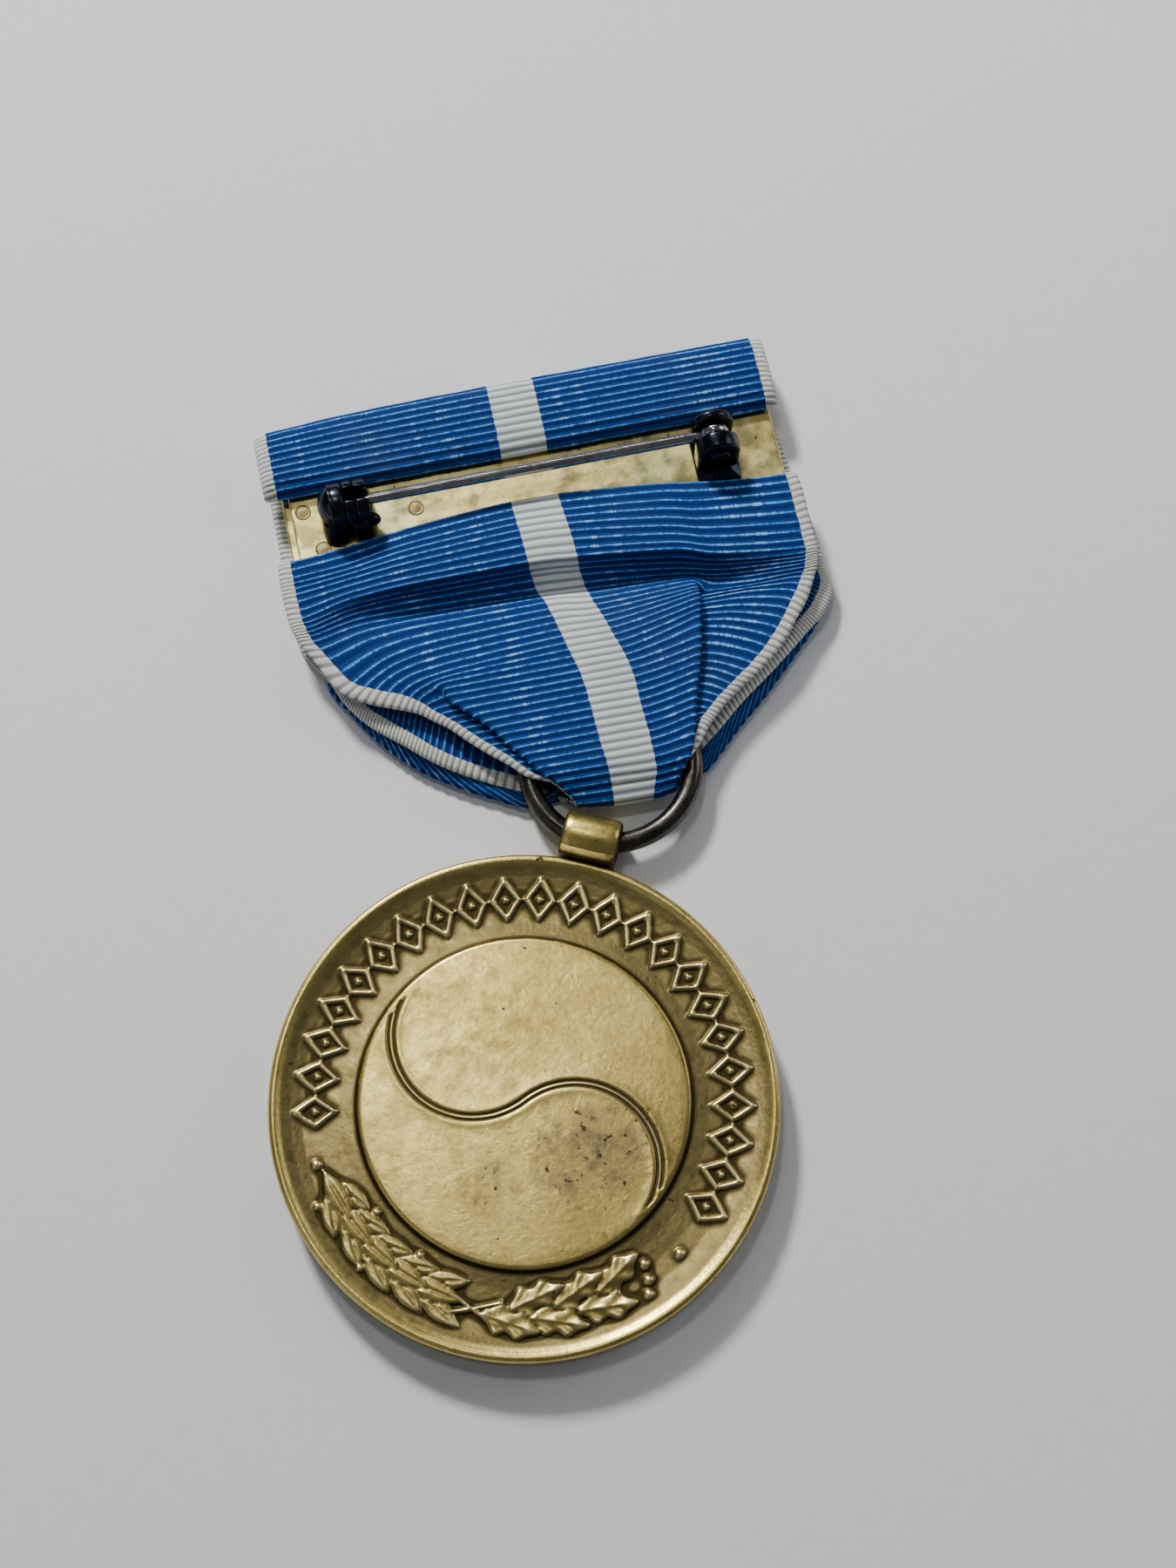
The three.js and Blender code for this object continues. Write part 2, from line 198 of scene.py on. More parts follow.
# ------ materials
class Nodes:
    """Short way to write a node tree."""

    def __init__(self, name):
        self.material = bpy.data.materials.new(name)
        self.material.use_nodes = True
        self.tree = self.material.node_tree
        self.shader = self.tree.nodes["Principled BSDF"]

    def add(self, kind, **inputs):
        node = self.tree.nodes.new(kind)
        for key, value in inputs.items():
            setattr(node, key, value)
        return node

    def put(self, socket, value):
        if isinstance(value, bpy.types.NodeSocket):
            self.tree.links.new(value, socket)
        else:
            socket.default_value = value

    def value(self, name):
        return self.add("ShaderNodeAttribute", attribute_name=name).outputs["Fac"]

    def place(self):
        return self.add("ShaderNodeTexCoord").outputs["Object"]

    def math(self, operation, a, b=0.0):
        node = self.add("ShaderNodeMath", operation=operation)
        self.put(node.inputs[0], a)
        self.put(node.inputs[1], b)
        return node.outputs[0]

    def times(self, a, b):
        return self.math("MULTIPLY", a, b)

    def plus(self, a, b):
        return self.math("ADD", a, b)

    def sway(self, noise, size):
        """Noise about its middle, scaled."""
        return self.times(self.math("SUBTRACT", noise, 0.5), size)

    def ramp(self, value, low, high, to_low=0.0, to_high=1.0):
        node = self.add("ShaderNodeMapRange", interpolation_type="SMOOTHSTEP")
        for i, v in enumerate((value, low, high, to_low, to_high)):
            self.put(node.inputs[i], v)
        return node.outputs[0]

    def mix(self, factor, a, b):
        node = self.add("ShaderNodeMix", data_type="RGBA")
        self.put(node.inputs[0], factor)
        for socket, v in ((node.inputs[6], a), (node.inputs[7], b)):
            self.put(socket, v if isinstance(v, bpy.types.NodeSocket) else (*v, 1))
        return node.outputs[2]

    def noise(self, scale, detail=3.0, vector=None, rough=0.55):
        node = self.add("ShaderNodeTexNoise")
        self.put(node.inputs["Vector"], vector if vector is not None else self.place())
        node.inputs["Scale"].default_value = scale
        node.inputs["Detail"].default_value = detail
        node.inputs["Roughness"].default_value = rough
        return node.outputs["Fac"]

    def join(self, x, y, z=0.0):
        node = self.add("ShaderNodeCombineXYZ")
        for i, v in enumerate((x, y, z)):
            self.put(node.inputs[i], v)
        return node.outputs[0]

    def stretched(self, scale):
        node = self.add("ShaderNodeMapping")
        self.put(node.inputs["Vector"], self.place())
        node.inputs["Scale"].default_value = scale
        return node.outputs[0]

    def bump(self, height, distance, strength=1.0, before=None):
        node = self.add("ShaderNodeBump")
        node.inputs["Strength"].default_value = strength
        node.inputs["Distance"].default_value = distance
        self.put(node.inputs["Height"], height)
        if before is not None:
            self.put(node.inputs["Normal"], before)
        return node.outputs[0]

    def finish(self, colour, metallic, roughness, normal=None, **constants):
        self.put(self.shader.inputs["Base Color"], colour)
        self.put(self.shader.inputs["Metallic"], metallic)
        self.put(self.shader.inputs["Roughness"], roughness)
        if normal is not None:
            self.put(self.shader.inputs["Normal"], normal)
        for key, v in constants.items():
            self.shader.inputs[key.replace("_", " ")].default_value = v
        return self.material


def bronze():
    """Struck bronze: olive patina in the field, paler metal where handling has rubbed it, dark patina in the
    hollows, a painted highlight on the relief's crests and painted shade on the lug's foot and ends.
    """
    n = Nodes("bronze_patina")
    relief, worn, disc = n.value("relief"), n.value("worn"), n.value("disc")
    cloud = n.noise(170, 6, rough=0.65)
    mottle = n.noise(900, 5, rough=0.7)
    grain = n.noise(3000, 3)
    gold = n.mix(n.ramp(cloud, 0.32, 0.70), (0.84, 0.665, 0.215), (0.57, 0.44, 0.125))
    gold = n.mix(n.ramp(mottle, 0.45, 0.75, 0, 0.5), gold, (0.40, 0.29, 0.085))
    field = n.mix(n.ramp(cloud, 0.3, 0.7), (0.155, 0.124, 0.050), (0.30, 0.238, 0.096))
    field = n.mix(n.ramp(mottle, 0.5, 0.75, 0, 0.5), field, (0.08, 0.061, 0.022))
    colour = n.mix(worn, field, gold)
    tiny = n.noise(4200, 3, rough=0.7)
    colour = n.mix(n.ramp(tiny, 0.42, 0.72, 0, 0.34), colour, (0.16, 0.122, 0.048))
    # dark patina in the hollows beside the relief; on the lug's foot and ends this same mask is painted shade
    hollow_patina_and_shade = n.ramp(relief, -0.006, -0.05)
    colour = n.mix(n.times(hollow_patina_and_shade, 0.88), colour, (0.022, 0.015, 0.005))
    # painted highlight: the crests of the relief are painted pale, brighter than the rubbed metal
    crest = n.ramp(relief, 0.035, 0.10)
    colour = n.mix(n.times(crest, 0.9), colour, (0.94, 0.77, 0.36))
    # a smoky stain with dark specks, gathered on one side of the raised disc
    stain = n.noise(230, 6, rough=0.72)
    away = n.add("ShaderNodeVectorMath", operation="DISTANCE")
    n.put(away.inputs[0], n.stretched((0.8, 1.35, 1.0)))
    away.inputs[1].default_value = (0.0016, -0.0052, 0.0025)
    near = n.times(n.ramp(away.outputs["Value"], 0.0075, 0.0012), disc)
    smoke = n.times(n.ramp(stain, 0.42, 0.70), near)
    colour = n.mix(n.times(smoke, 0.85), colour, (0.13, 0.105, 0.085))
    dots = n.ramp(n.noise(1700, 4, rough=0.75), 0.575, 0.66)
    speck = n.times(dots, n.ramp(n.noise(260, 3), 0.47, 0.58))
    colour = n.mix(n.times(speck, n.ramp(near, 0.05, 0.45)), colour, (0.050, 0.034, 0.022))
    stray = n.ramp(n.noise(1100, 2), 0.735, 0.76)
    colour = n.mix(stray, colour, (0.09, 0.06, 0.025))
    rough = n.ramp(mottle, 0.25, 0.75, 0.26, 0.40)
    rough = n.plus(rough, n.times(hollow_patina_and_shade, 0.2))
    fine = n.bump(grain, 0.00002, 0.7)
    soft = n.bump(n.noise(330, 3), 0.00005, 0.12, fine)
    return n.finish(colour, 1.0, rough, soft)


def metal(name, dark, light, rough, scale, bump, stretch=(2500, 2500, 2500)):
    """Plain metal with clouded colour and fine scratches."""
    n = Nodes(name)
    cloud = n.noise(scale, 5, rough=0.65)
    colour = n.mix(n.ramp(cloud, 0.3, 0.72), dark, light)
    streak = n.noise(1.0, 4, n.stretched(stretch))
    colour = n.mix(n.ramp(streak, 0.25, 0.8, 0.0, 0.35), colour, tuple(c * 0.45 for c in dark))
    rough_map = n.ramp(n.noise(scale * 3, 3), 0.25, 0.75, rough * 0.8, rough * 1.3)
    return n.finish(colour, 1.0, rough_map, n.bump(streak, bump, 0.6))


def plate_brass():
    """Pale clouded brass sheet with tarnish blooms and a few pits."""
    n = Nodes("brass_sheet_tarnish")
    cloud = n.noise(230, 6, rough=0.7)
    bloom = n.noise(650, 4, rough=0.6)
    colour = n.mix(n.ramp(cloud, 0.3, 0.7), (0.90, 0.76, 0.33), (0.68, 0.55, 0.19))
    colour = n.mix(n.ramp(bloom, 0.52, 0.78, 0, 0.6), colour, (0.36, 0.27, 0.09))
    green = n.ramp(n.noise(120, 3), 0.5, 0.7, 0, 0.4)
    colour = n.mix(green, colour, (0.55, 0.66, 0.38))
    dots = n.times(n.ramp(n.noise(1700, 2), 0.68, 0.74), n.ramp(cloud, 0.45, 0.6))
    colour = n.mix(dots, colour, (0.07, 0.055, 0.03))
    rough = n.ramp(bloom, 0.3, 0.7, 0.24, 0.42)
    wave = n.bump(n.noise(300, 3), 0.00009, 0.5)
    return n.finish(colour, 1.0, rough, n.bump(n.noise(2600, 3), 0.000015, 0.5, wave))


def ribbon_weave():
    """Silky ribbed ribbon: cords cross the width, with a painted highlight line along each crest and painted
    shade in the valleys.
    """
    n = Nodes("ribbon_weave")
    across, rib = n.value("across"), n.value("rib")
    rib_no = n.math("FLOOR", n.plus(rib, 0.5))
    crest = n.math("COSINE", n.times(rib, 2 * math.pi))
    yarn = n.noise(1.0, 3, n.join(n.times(across, 24.0), n.times(rib, 0.9)))
    warp = n.noise(1.0, 3, n.join(n.times(across, 3.1), n.times(rib, 1.7)))
    # patches where the painted highlight on the crests is wider and paler, lined up from rib to rib
    shift = n.noise(1.0, 1, n.join(n.times(rib_no, 0.31), 4.7))
    shift = n.sway(shift, 2.0)
    skip = n.noise(1.0, 1, n.join(n.times(rib_no, 3.7), n.times(across, 0.21)))
    column = n.noise(1.0, 1, n.join(n.times(n.plus(across, shift), 0.72), 1.3))
    highlight_patch = n.times(n.ramp(column, 0.50, 0.66), n.ramp(skip, 0.40, 0.54))
    bits = n.noise(1.0, 1, n.join(n.times(across, 5.2), n.times(rib_no, 2.3)))
    highlight_patch = n.times(highlight_patch, n.ramp(bits, 0.36, 0.58))
    low = n.math("SUBTRACT", 0.70, n.times(highlight_patch, 0.34))
    low = n.plus(low, n.sway(warp, 0.8))
    low = n.plus(low, n.sway(yarn, 0.75))
    # painted highlight along each rib's crest: pale blue where the crest is taken as lit, deep blue elsewhere
    lit = n.ramp(crest, low, n.plus(low, 0.40))
    deep = n.mix(n.ramp(yarn, 0.3, 0.7), (0.0004, 0.024, 0.150), (0.0008, 0.046, 0.240))
    pale = n.mix(n.ramp(yarn, 0.3, 0.72), (0.03, 0.24, 0.70), (0.19, 0.48, 0.96))
    pale = n.mix(n.times(highlight_patch, 0.55), pale, (0.34, 0.60, 0.95))
    blue = n.mix(lit, deep, pale)
    # painted shade darkens the valleys between the ribs
    groove = n.ramp(crest, -0.95, -0.2, 1.0, 0.0)
    blue = n.mix(n.times(groove, 0.6), blue, (0.0003, 0.012, 0.07))
    # the white stripe's ribs: painted highlight on the crests, painted grey shade in the valleys
    white = n.mix(n.ramp(crest, -0.95, 0.35), (0.25, 0.285, 0.31), (0.73, 0.79, 0.80))
    white = n.mix(n.ramp(yarn, 0.25, 0.75, 0, 0.22), white, (0.48, 0.49, 0.46))
    edge = n.plus(n.math("ABSOLUTE", across), n.sway(yarn, 0.18))
    stripe = n.ramp(edge, 1.56, 1.50)
    border = n.ramp(edge, 16.50, 16.56)
    cream = n.mix(n.ramp(yarn, 0.3, 0.7), (0.60, 0.61, 0.57), (0.84, 0.85, 0.80))
    # painted shade in the gaps between the selvedge's slanting cords
    slant = n.times(n.math("SUBTRACT", n.math("ABSOLUTE", across), 16.9), 2.4)
    twist = n.math("COSINE", n.plus(n.times(rib, 3 * math.pi), slant))
    cream = n.mix(n.ramp(twist, 0.2, -0.85, 0, 0.8), cream, (0.20, 0.21, 0.20))
    colour = n.mix(stripe, blue, white)
    colour = n.mix(border, colour, cream)
    soil = n.ramp(n.noise(110, 4), 0.5, 0.8, 0, 0.2)
    colour = n.mix(soil, colour, (0.05, 0.07, 0.12))
    rough = n.ramp(lit, 0, 1, 0.72, 0.52)
    return n.finish(colour, 0.0, rough, n.bump(yarn, 0.00003, 0.8), Specular_IOR_Level=0.13)


def floor_paper():
    """Matt pale grey paper."""
    n = Nodes("floor_paper")
    tone = n.mix(n.noise(900, 4), (0.77, 0.78, 0.80), (0.83, 0.84, 0.86))
    return n.finish(tone, 0.0, 0.85, n.bump(n.noise(2500, 3), 0.00003, 0.4))


# ------ medallion
SEGMENTS = 900
DISC_EDGE = 10.05  # the raised disc at the centre of the back
DISC_TOP = 2.50
CHAIN_RADIUS = 12.95  # the chain of lozenges round it
CHAIN_PITCH = math.radians(9.7)
WAVE_RADIUS = 5.19  # of the two half circles that make the line across the disc
WAVE_X, WAVE_Y = -4.05 / WAVE_RADIUS, 3.25 / WAVE_RADIUS
BACK_FIELD, FRONT_FIELD = "back field", "front field"


def leaf(x, y, cx, cy, angle, length, width, height, lobes=0.0):
    """Height of a leaf lying on the field: a crisp-edged blade with a midrib."""
    ca, sa = math.cos(angle), math.sin(angle)
    a = ((x - cx) * ca + (y - cy) * sa) / length + 0.5
    b = -(x - cx) * sa + (y - cy) * ca
    t = np.clip(a, 0.001, 0.999)
    if lobes:
        wide = width / 2 * np.sin(math.pi * t ** 0.8) ** 0.55
        wide = wide * (0.84 + 0.16 * np.cos(2 * math.pi * (lobes * t + 0.25)))
    else:
        wide = width / 2 * np.sin(math.pi * t ** 0.9) ** 1.1
    q = np.abs(b) / np.maximum(wide, 0.02)
    inside = (a > 0) & (a < 1) & (q < 1)
    edge = np.clip((1 - q) * wide / 0.10, 0, 1)
    dome = height * (0.60 * edge + 0.40 * (1 - np.clip(q, 0, 1) ** 1.6)) * (0.72 + 0.28 * t)
    groove = np.exp(-((b / 0.10) ** 2)) * np.clip((0.95 - t) * 6, 0, 1)
    if lobes:
        vein = 0.03 * np.cos(2 * math.pi * (lobes * t - np.abs(b) * 0.8)) * edge
        return np.where(inside, dome + vein + 0.05 * groove, 0)
    return np.where(inside, dome - 0.06 * groove * edge, 0)


def disc_at(x, y, cx, cy, radius, height):
    d = np.hypot(x - cx, y - cy) / radius
    return np.where(d < 1, height * np.sqrt(np.clip(1 - d ** 2, 0, 1)), 0)


def stroke(distance, width, height):
    q = np.clip(np.abs(distance) / (width / 2), 0, 1)
    return height * (1 - q ** 2.5)


def wreath(x, y):
    """Laurel on the left and oak on the right of the foot of the medal, their stems crossing."""
    top = np.zeros_like(x)

    def spot(turn, radius):
        t = math.radians(turn)
        return radius * math.sin(t), -radius * math.cos(t)

    for k in range(5):
        turn = -9.5 - 9.2 * k
        along = math.radians(turn) + math.pi
        for lean, out, late, size in (
            (-0.36, 13.5, 0, 1.0), (0.40, 12.1, 1.5, 0.94), (0.02, 12.8, 3.2, 1.05),
        ):
            long = 4.1 * size * (1 - 0.035 * k)
            blade = leaf(x, y, *spot(turn - late, out), along + lean, long, 1.45 * size, 0.29)
            top = np.where(blade > 0.05, np.maximum(blade + 0.02 * (lean == 0.02), top * 0.55), top)
    for turn, out in ((-20, 11.35), (-30.5, 14.2), (-39, 11.3), (-49, 14.15)):
        top = np.maximum(top, disc_at(x, y, *spot(turn, out), 0.27, 0.25))
    for turn, out, lean in (
        (41.5, 12.0, 0.30), (36.0, 13.5, -0.24), (29.5, 12.0, 0.34), (23.0, 13.55, -0.30),
        (17.5, 12.0, 0.36), (10.5, 13.5, -0.26),
    ):
        blade = leaf(x, y, *spot(turn, out), math.radians(turn) + lean, 3.7, 2.05, 0.28, 2.55)
        top = np.where(blade > 0.05, np.maximum(blade, top * 0.55), top)
    for turn, out in ((48.5, 13.3), (50.0, 12.4), (46.5, 14.0)):
        top = np.maximum(top, disc_at(x, y, *spot(turn, out), 0.36, 0.3))
    for way in (-1, 1):
        run = y + 13.0 - way * 0.42 * x - 0.035 * x ** 2
        stem = np.where(np.abs(x) < 1.7, stroke(run, 0.34, 0.22), 0)
        top = np.maximum(top, stem)
    return top


def ornament(x, y):
    """A plain chain of open lozenges with a bead in each, round the upper part of the field."""
    radius, turn = np.hypot(x, y), np.arctan2(x, y)
    k = np.clip(np.round(turn / CHAIN_PITCH), -11, 11)
    dx = (turn - k * CHAIN_PITCH) * CHAIN_RADIUS
    dy = radius - CHAIN_RADIUS
    wide, tall = 0.84, 1.22
    edge = (np.abs(dx) / wide + np.abs(dy) / tall - 1) * wide * tall / math.hypot(wide, tall)
    top = stroke(edge, 0.34, 0.23)
    top = np.maximum(top, disc_at(dx, dy, 0, 0, 0.22, 0.22))
    for side in (-1, 1):
        between = disc_at(dx, dy, side * CHAIN_PITCH / 2 * CHAIN_RADIUS, 0, 0.13, 0.15)
        top = np.maximum(top, np.where(np.abs(turn) < 11.4 * CHAIN_PITCH, between, 0))
    for side in (-1, 1):
        top = np.maximum(top, disc_at(x, y, side * 11.45, -6.85, 0.34, 0.24))
    return top


def field_height(radius):
    """The plain field, dished between the raised disc and the rim."""
    at = [10.45, 10.7, 11.5, 12.7, 13.8, 14.5, 14.9]
    return np.interp(radius, at, [2.17, 2.14, 2.105, 2.10, 2.15, 2.26, 2.345])


def wave_distance(x, y):
    """Distance from the curved line of two half circles that divides the disc."""
    a = x * WAVE_X + y * WAVE_Y
    b = -x * WAVE_Y + y * WAVE_X
    d1 = np.where(b >= 0, np.abs(np.hypot(a - WAVE_RADIUS, b) - WAVE_RADIUS), np.inf)
    d2 = np.where(b <= 0, np.abs(np.hypot(a + WAVE_RADIUS, b) - WAVE_RADIUS), np.inf)
    return np.minimum(d1, d2)


def wave_lines(offsets, step):
    """Points along the dividing line and beside it."""
    n = int(math.pi * WAVE_RADIUS / step)
    t = (np.arange(n) + 0.5) / n * math.pi
    found = []
    for off in offsets:
        for sign in (1, -1):
            r = WAVE_RADIUS + off * sign
            a = sign * WAVE_RADIUS + r * np.cos(t)
            b = sign * r * np.sin(t)
            found.append(np.stack([a * WAVE_X - b * WAVE_Y, a * WAVE_Y + b * WAVE_X], 1))
    return np.concatenate(found)


def back_disc():
    """The raised disc: points on and beside the dividing groove, and a coarse grid elsewhere."""
    turn = np.linspace(0, 2 * math.pi, SEGMENTS, endpoint=False)
    rim = np.stack([DISC_EDGE * np.sin(turn), DISC_EDGE * np.cos(turn)], 1)
    beside = [0.09, 0.17, 0.24, 0.31, 0.40, 0.54]
    near = wave_lines([-d for d in beside[::-1]] + [0.0] + beside, 0.16)
    near = near[np.hypot(near[:, 0], near[:, 1]) < DISC_EDGE - 0.12]
    pitch = 0.55
    g = np.arange(-10, 10.1, pitch)
    gx, gy = np.meshgrid(g, g)
    gx = gx + pitch / 2 * (np.arange(len(g)) % 2)[:, None]
    wide = np.stack([gx.ravel(), gy.ravel()], 1)
    clear = wave_distance(wide[:, 0], wide[:, 1]) > 0.75
    wide = wide[(np.hypot(wide[:, 0], wide[:, 1]) < DISC_EDGE - 0.3) & clear]
    points = np.concatenate([rim, near, wide])
    border = [[i, (i + 1) % SEGMENTS] for i in range(SEGMENTS)]
    out = geometry.delaunay_2d_cdt([Vector(p) for p in points.tolist()], border, [], 1, 1e-5)
    flat = np.array([list(p) for p in out[0]])
    return flat, [list(f) for f in out[2]], out[3]


def smoothed(grid, reach):
    """The mean over a square of points, on a grid whose rows close on themselves."""
    out = grid.copy()
    for axis in (0, 1):
        total = np.zeros_like(out)
        for k in range(-reach, reach + 1):
            if axis == 1:
                total += np.roll(out, k, axis=1)
            else:
                total += out[np.clip(np.arange(len(out)) + k, 0, len(out) - 1)]
        out = total / (2 * reach + 1)
    return out


def medallion_rows():
    """(radius, height, wear, share of raised disc) of each ring of points, from the raised disc's
    edge out over the back, round the rim and in over the front."""
    rows = [(DISC_EDGE, DISC_TOP, 0.92, 1.0), (10.22, 2.485, 0.95, 1.0), (10.32, 2.43, 0.9, 1.0)]
    rows.append((10.40, 2.24, 0.15, 0.0))
    rows += [(radius, BACK_FIELD, 0.12, 0.0) for radius in np.arange(10.48, 14.86, 0.078)]
    rows += [(*rim, 0.0) for rim in (
        (14.95, 2.36, 0.35), (15.08, 2.40, 0.5), (15.22, 2.47, 0.8), (15.34, 2.54, 1.0),
        (15.46, 2.585, 1.0), (15.58, 2.595, 1.0), (15.70, 2.565, 1.0), (15.80, 2.48, 0.9),
        (15.86, 2.35, 0.6), (15.875, 2.2, 0.35), (15.875, 1.30, 0.25), (15.875, 0.38, 0.35),
        (15.84, 0.20, 0.6), (15.74, 0.08, 0.9), (15.56, 0.015, 1.0), (15.1, 0.01, 1.0),
        (14.95, 0.06, 0.7), (14.80, 0.27, 0.2),
    )]
    rows += [(radius, FRONT_FIELD, 0.15, 0.0) for radius in np.arange(14.55, 6.55, -0.40)]
    rows += [(*centre, 0.0) for centre in (
        (6.35, 0.34, 0.3), (6.15, 0.06, 0.9), (5.9, 0.0, 1.0), (3.0, 0.0, 1.0), (0.6, 0.0, 1.0),
    )]
    return rows


def struck_back(x, y):
    """Height, relief and wear of the field round the raised disc."""
    raised = np.maximum(wreath(x, y), ornament(x, y))
    radius = np.hypot(x, y)
    fade = np.clip((radius - 10.6) / 0.4, 0, 1) * np.clip((14.85 - radius) / 0.35, 0, 1)
    raised = (0.35 * raised + 0.65 * smoothed(raised, 1)) * fade
    return field_height(radius) + raised, raised - smoothed(raised, 6), np.clip(0.10 + raised * 2.1, 0, 1)


def struck_front(x, y):
    """Height and wear of the front's field: rays round a plain centre, and a ring of beads."""
    radius, turn = np.hypot(x, y), np.arctan2(x, y)
    rays = 0.5 + 0.5 * np.cos(turn * 32)
    rise = 0.20 * rays ** 1.5 * np.clip((radius - 6.9) / 0.6, 0, 1) * np.clip((11.9 - radius) / 1.6, 0, 1)
    pitch = 2 * math.pi / 72
    nearest = np.round(turn / pitch) * pitch
    bead = disc_at((turn - nearest) * radius, radius - 13.4, 0, 0, 0.42, 0.2)
    raised = np.maximum(rise, bead)
    return 0.35 - raised, np.clip(0.15 + raised * 4, 0, 1)


def grooved_disc(x, y):
    """Height and relief of the raised disc, with the dividing groove and the lip beside it."""
    d = wave_distance(x, y)
    groove = -0.13 * np.exp(-(((d - 0.15) / 0.08) ** 2)) + 0.03 * np.exp(-((d / 0.07) ** 2))
    lip = 0.025 * np.exp(-(((d - 0.42) / 0.08) ** 2))
    # the relief darkens the groove as patina and marks the ridge in its middle, which the bronze paints with
    # a painted highlight
    relief = np.where(d < 0.38, groove * 1.3 + 0.085 * np.exp(-((d / 0.06) ** 2)), 0)
    return DISC_TOP + groove + lip, relief


def corner_area(face, x, y):
    """Twice the area at a face's first corner: positive where it faces out of the back."""
    a, b, c = face[:3]
    return (x[b] - x[a]) * (y[c] - y[a]) - (y[b] - y[a]) * (x[c] - x[a])


def medallion(material):
    """The struck disc, as one closed surface of rings of points round a meshed raised disc."""
    rows = medallion_rows()
    turn = np.linspace(0, 2 * math.pi, SEGMENTS, endpoint=False)
    radius = np.array([row[0] for row in rows])[:, None]
    x, y = radius * np.sin(turn), radius * np.cos(turn)
    z, relief = np.zeros_like(x), np.zeros_like(x)
    worn = np.repeat(np.array([[row[2]] for row in rows]), SEGMENTS, 1)
    disc = np.repeat(np.array([[row[3]] for row in rows]), SEGMENTS, 1)
    back = [i for i, row in enumerate(rows) if row[1] == BACK_FIELD]
    front = [i for i, row in enumerate(rows) if row[1] == FRONT_FIELD]
    for i, row in enumerate(rows):
        if i not in back and i not in front:
            z[i] = row[1]
    z[back], relief[back], worn[back] = struck_back(x[back], y[back])
    z[front], worn[front] = struck_front(x[front], y[front])
    # dirt gathers at the foot of the raised disc
    relief[back[0] - 1] = -0.09
    relief[back[:2]] = -0.06

    flat, faces, origin = back_disc()
    disc_z, disc_relief = grooved_disc(flat[:, 0], flat[:, 1])
    # the raised disc's border is the first ring, so those points are shared
    index = np.arange(len(flat)) + len(rows) * SEGMENTS
    for i, sources in enumerate(origin):
        for source in sources:
            if source < SEGMENTS:
                index[i] = source

    def whole(rings, middle, hub=0.0):
        return np.concatenate([rings.ravel(), middle, [hub]])

    all_x, all_y = whole(x, flat[:, 0]), whole(y, flat[:, 1])
    faces = [[int(index[v]) for v in f] for f in faces]
    faces = [f if corner_area(f, all_x, all_y) > 0 else f[::-1] for f in faces]
    faces += quads(len(rows), SEGMENTS, wrap_cols=True).tolist()
    last, hub = (len(rows) - 1) * SEGMENTS, len(all_x) - 1
    faces += [[last + j, last + (j + 1) % SEGMENTS, hub] for j in range(SEGMENTS)]
    points = all_x[:, None] * SIDE + all_y[:, None] * UP
    points[:, 2] = whole(z, disc_z)
    used = np.zeros(len(points), bool)
    for f in faces:
        used[f] = True
    renumber = np.cumsum(used) - 1
    faces = [[int(renumber[v]) for v in f] for f in faces]
    piece = build(
        "medallion_struck", points[used], faces, material, "medallion",
        relief=whole(relief, disc_relief)[used],
        worn=whole(worn, np.full(len(flat), 0.92), 1.0)[used],
        disc=whole(disc, np.ones(len(flat)))[used],
    )
    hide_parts("medallion_disc")


# ------ lug and ring
HANG_Z = 1.6  # height of the lug's bore and of the ring's plane
OUTWARD = np.array([0, 0, 1.0])
BARREL = [  # (across, inset from the outline) over the lug's outside
    (-1.86, 0.40), (-1.84, 0.26), (-1.76, 0.13), (-1.58, 0.04), (-1.2, -0.01), (0, -0.05),
    (1.2, -0.01), (1.58, 0.04), (1.76, 0.13), (1.84, 0.26), (1.86, 0.40),
]
BORE = [(1.8, 1.16), (1.62, 1.05), (0.8, 1.02), (-0.8, 1.02), (-1.62, 1.05), (-1.8, 1.16)]  # (across, radius)


def lug(material):
    """A bored barrel on a short foot, swept across its width with rounded edges."""
    n = 96
    phi = np.linspace(0, 2 * math.pi, n, endpoint=False)  # 0 points away from the medallion
    down = -np.cos(phi)
    spread = np.minimum(1.76 / np.maximum(down, 0.2), 2.15)
    outer = np.maximum(1.58, np.where(down > 0.72, spread, 0))
    section = [(across, outer - inset) for across, inset in BARREL]
    section += [(across, np.full(n, radius)) for across, radius in BORE]
    centre = 17.645 * UP + np.array([0, 0, HANG_Z])
    points = []
    for across, radius in section:
        level = centre + across * SIDE + (radius * np.cos(phi))[:, None] * UP
        points.append(level + (radius * np.sin(phi))[:, None] * OUTWARD)
    points = np.concatenate(points)
    faces = quads(len(section), n, wrap_rows=True, wrap_cols=True, flip=True)
    offset = points - centre
    away = np.linalg.norm(offset - (offset @ SIDE)[:, None] * SIDE, axis=1)
    # painted shade: the lug's foot and its two ends get a low relief value, which the bronze material paints
    # near black
    painted_shade_foot_and_ends = (offset @ UP < -1.25) | (np.abs(offset @ SIDE) > 1.66)
    piece = build(
        "lug_barrel", points, faces, material, "medallion", worn=np.clip((away - 1.2) * 3, 0, 1),
        relief=np.where(painted_shade_foot_and_ends, -0.045, 0.03), disc=np.zeros(len(points)),
    )
    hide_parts("suspension_lug")


def ring(material):
    """The jump ring: round wire, eased at the two ends that meet in its butt joint."""
    turns = np.radians(99 + 0.8 + np.linspace(0, 358.4, 220))
    centre = 22.945 * UP + np.array([0, 0, HANG_Z])
    line = centre + 5.42 * (np.cos(turns)[:, None] * SIDE + np.sin(turns)[:, None] * UP)
    radius = np.full(len(line), 0.66)
    radius[[0, -1]] = 0.52
    radius[[1, -2]] = 0.63
    piece = build("ring_wire", *tube(line, radius, 24), material, "ring")
    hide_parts("suspension_ring")


# ------ brooch metalwork
PLATE_FACE = 2.13  # the feet of the catch and the hinge stand here
PIN_Y = 41.25
PIN_Z = 4.3
CATCH_Y = 41.2
HINGE_X = 21.45
TIP_X = -3.6  # the pin's point, inside the catch
PIN_SLOT = 0.95  # wider than the pin, which leaves the catch through it


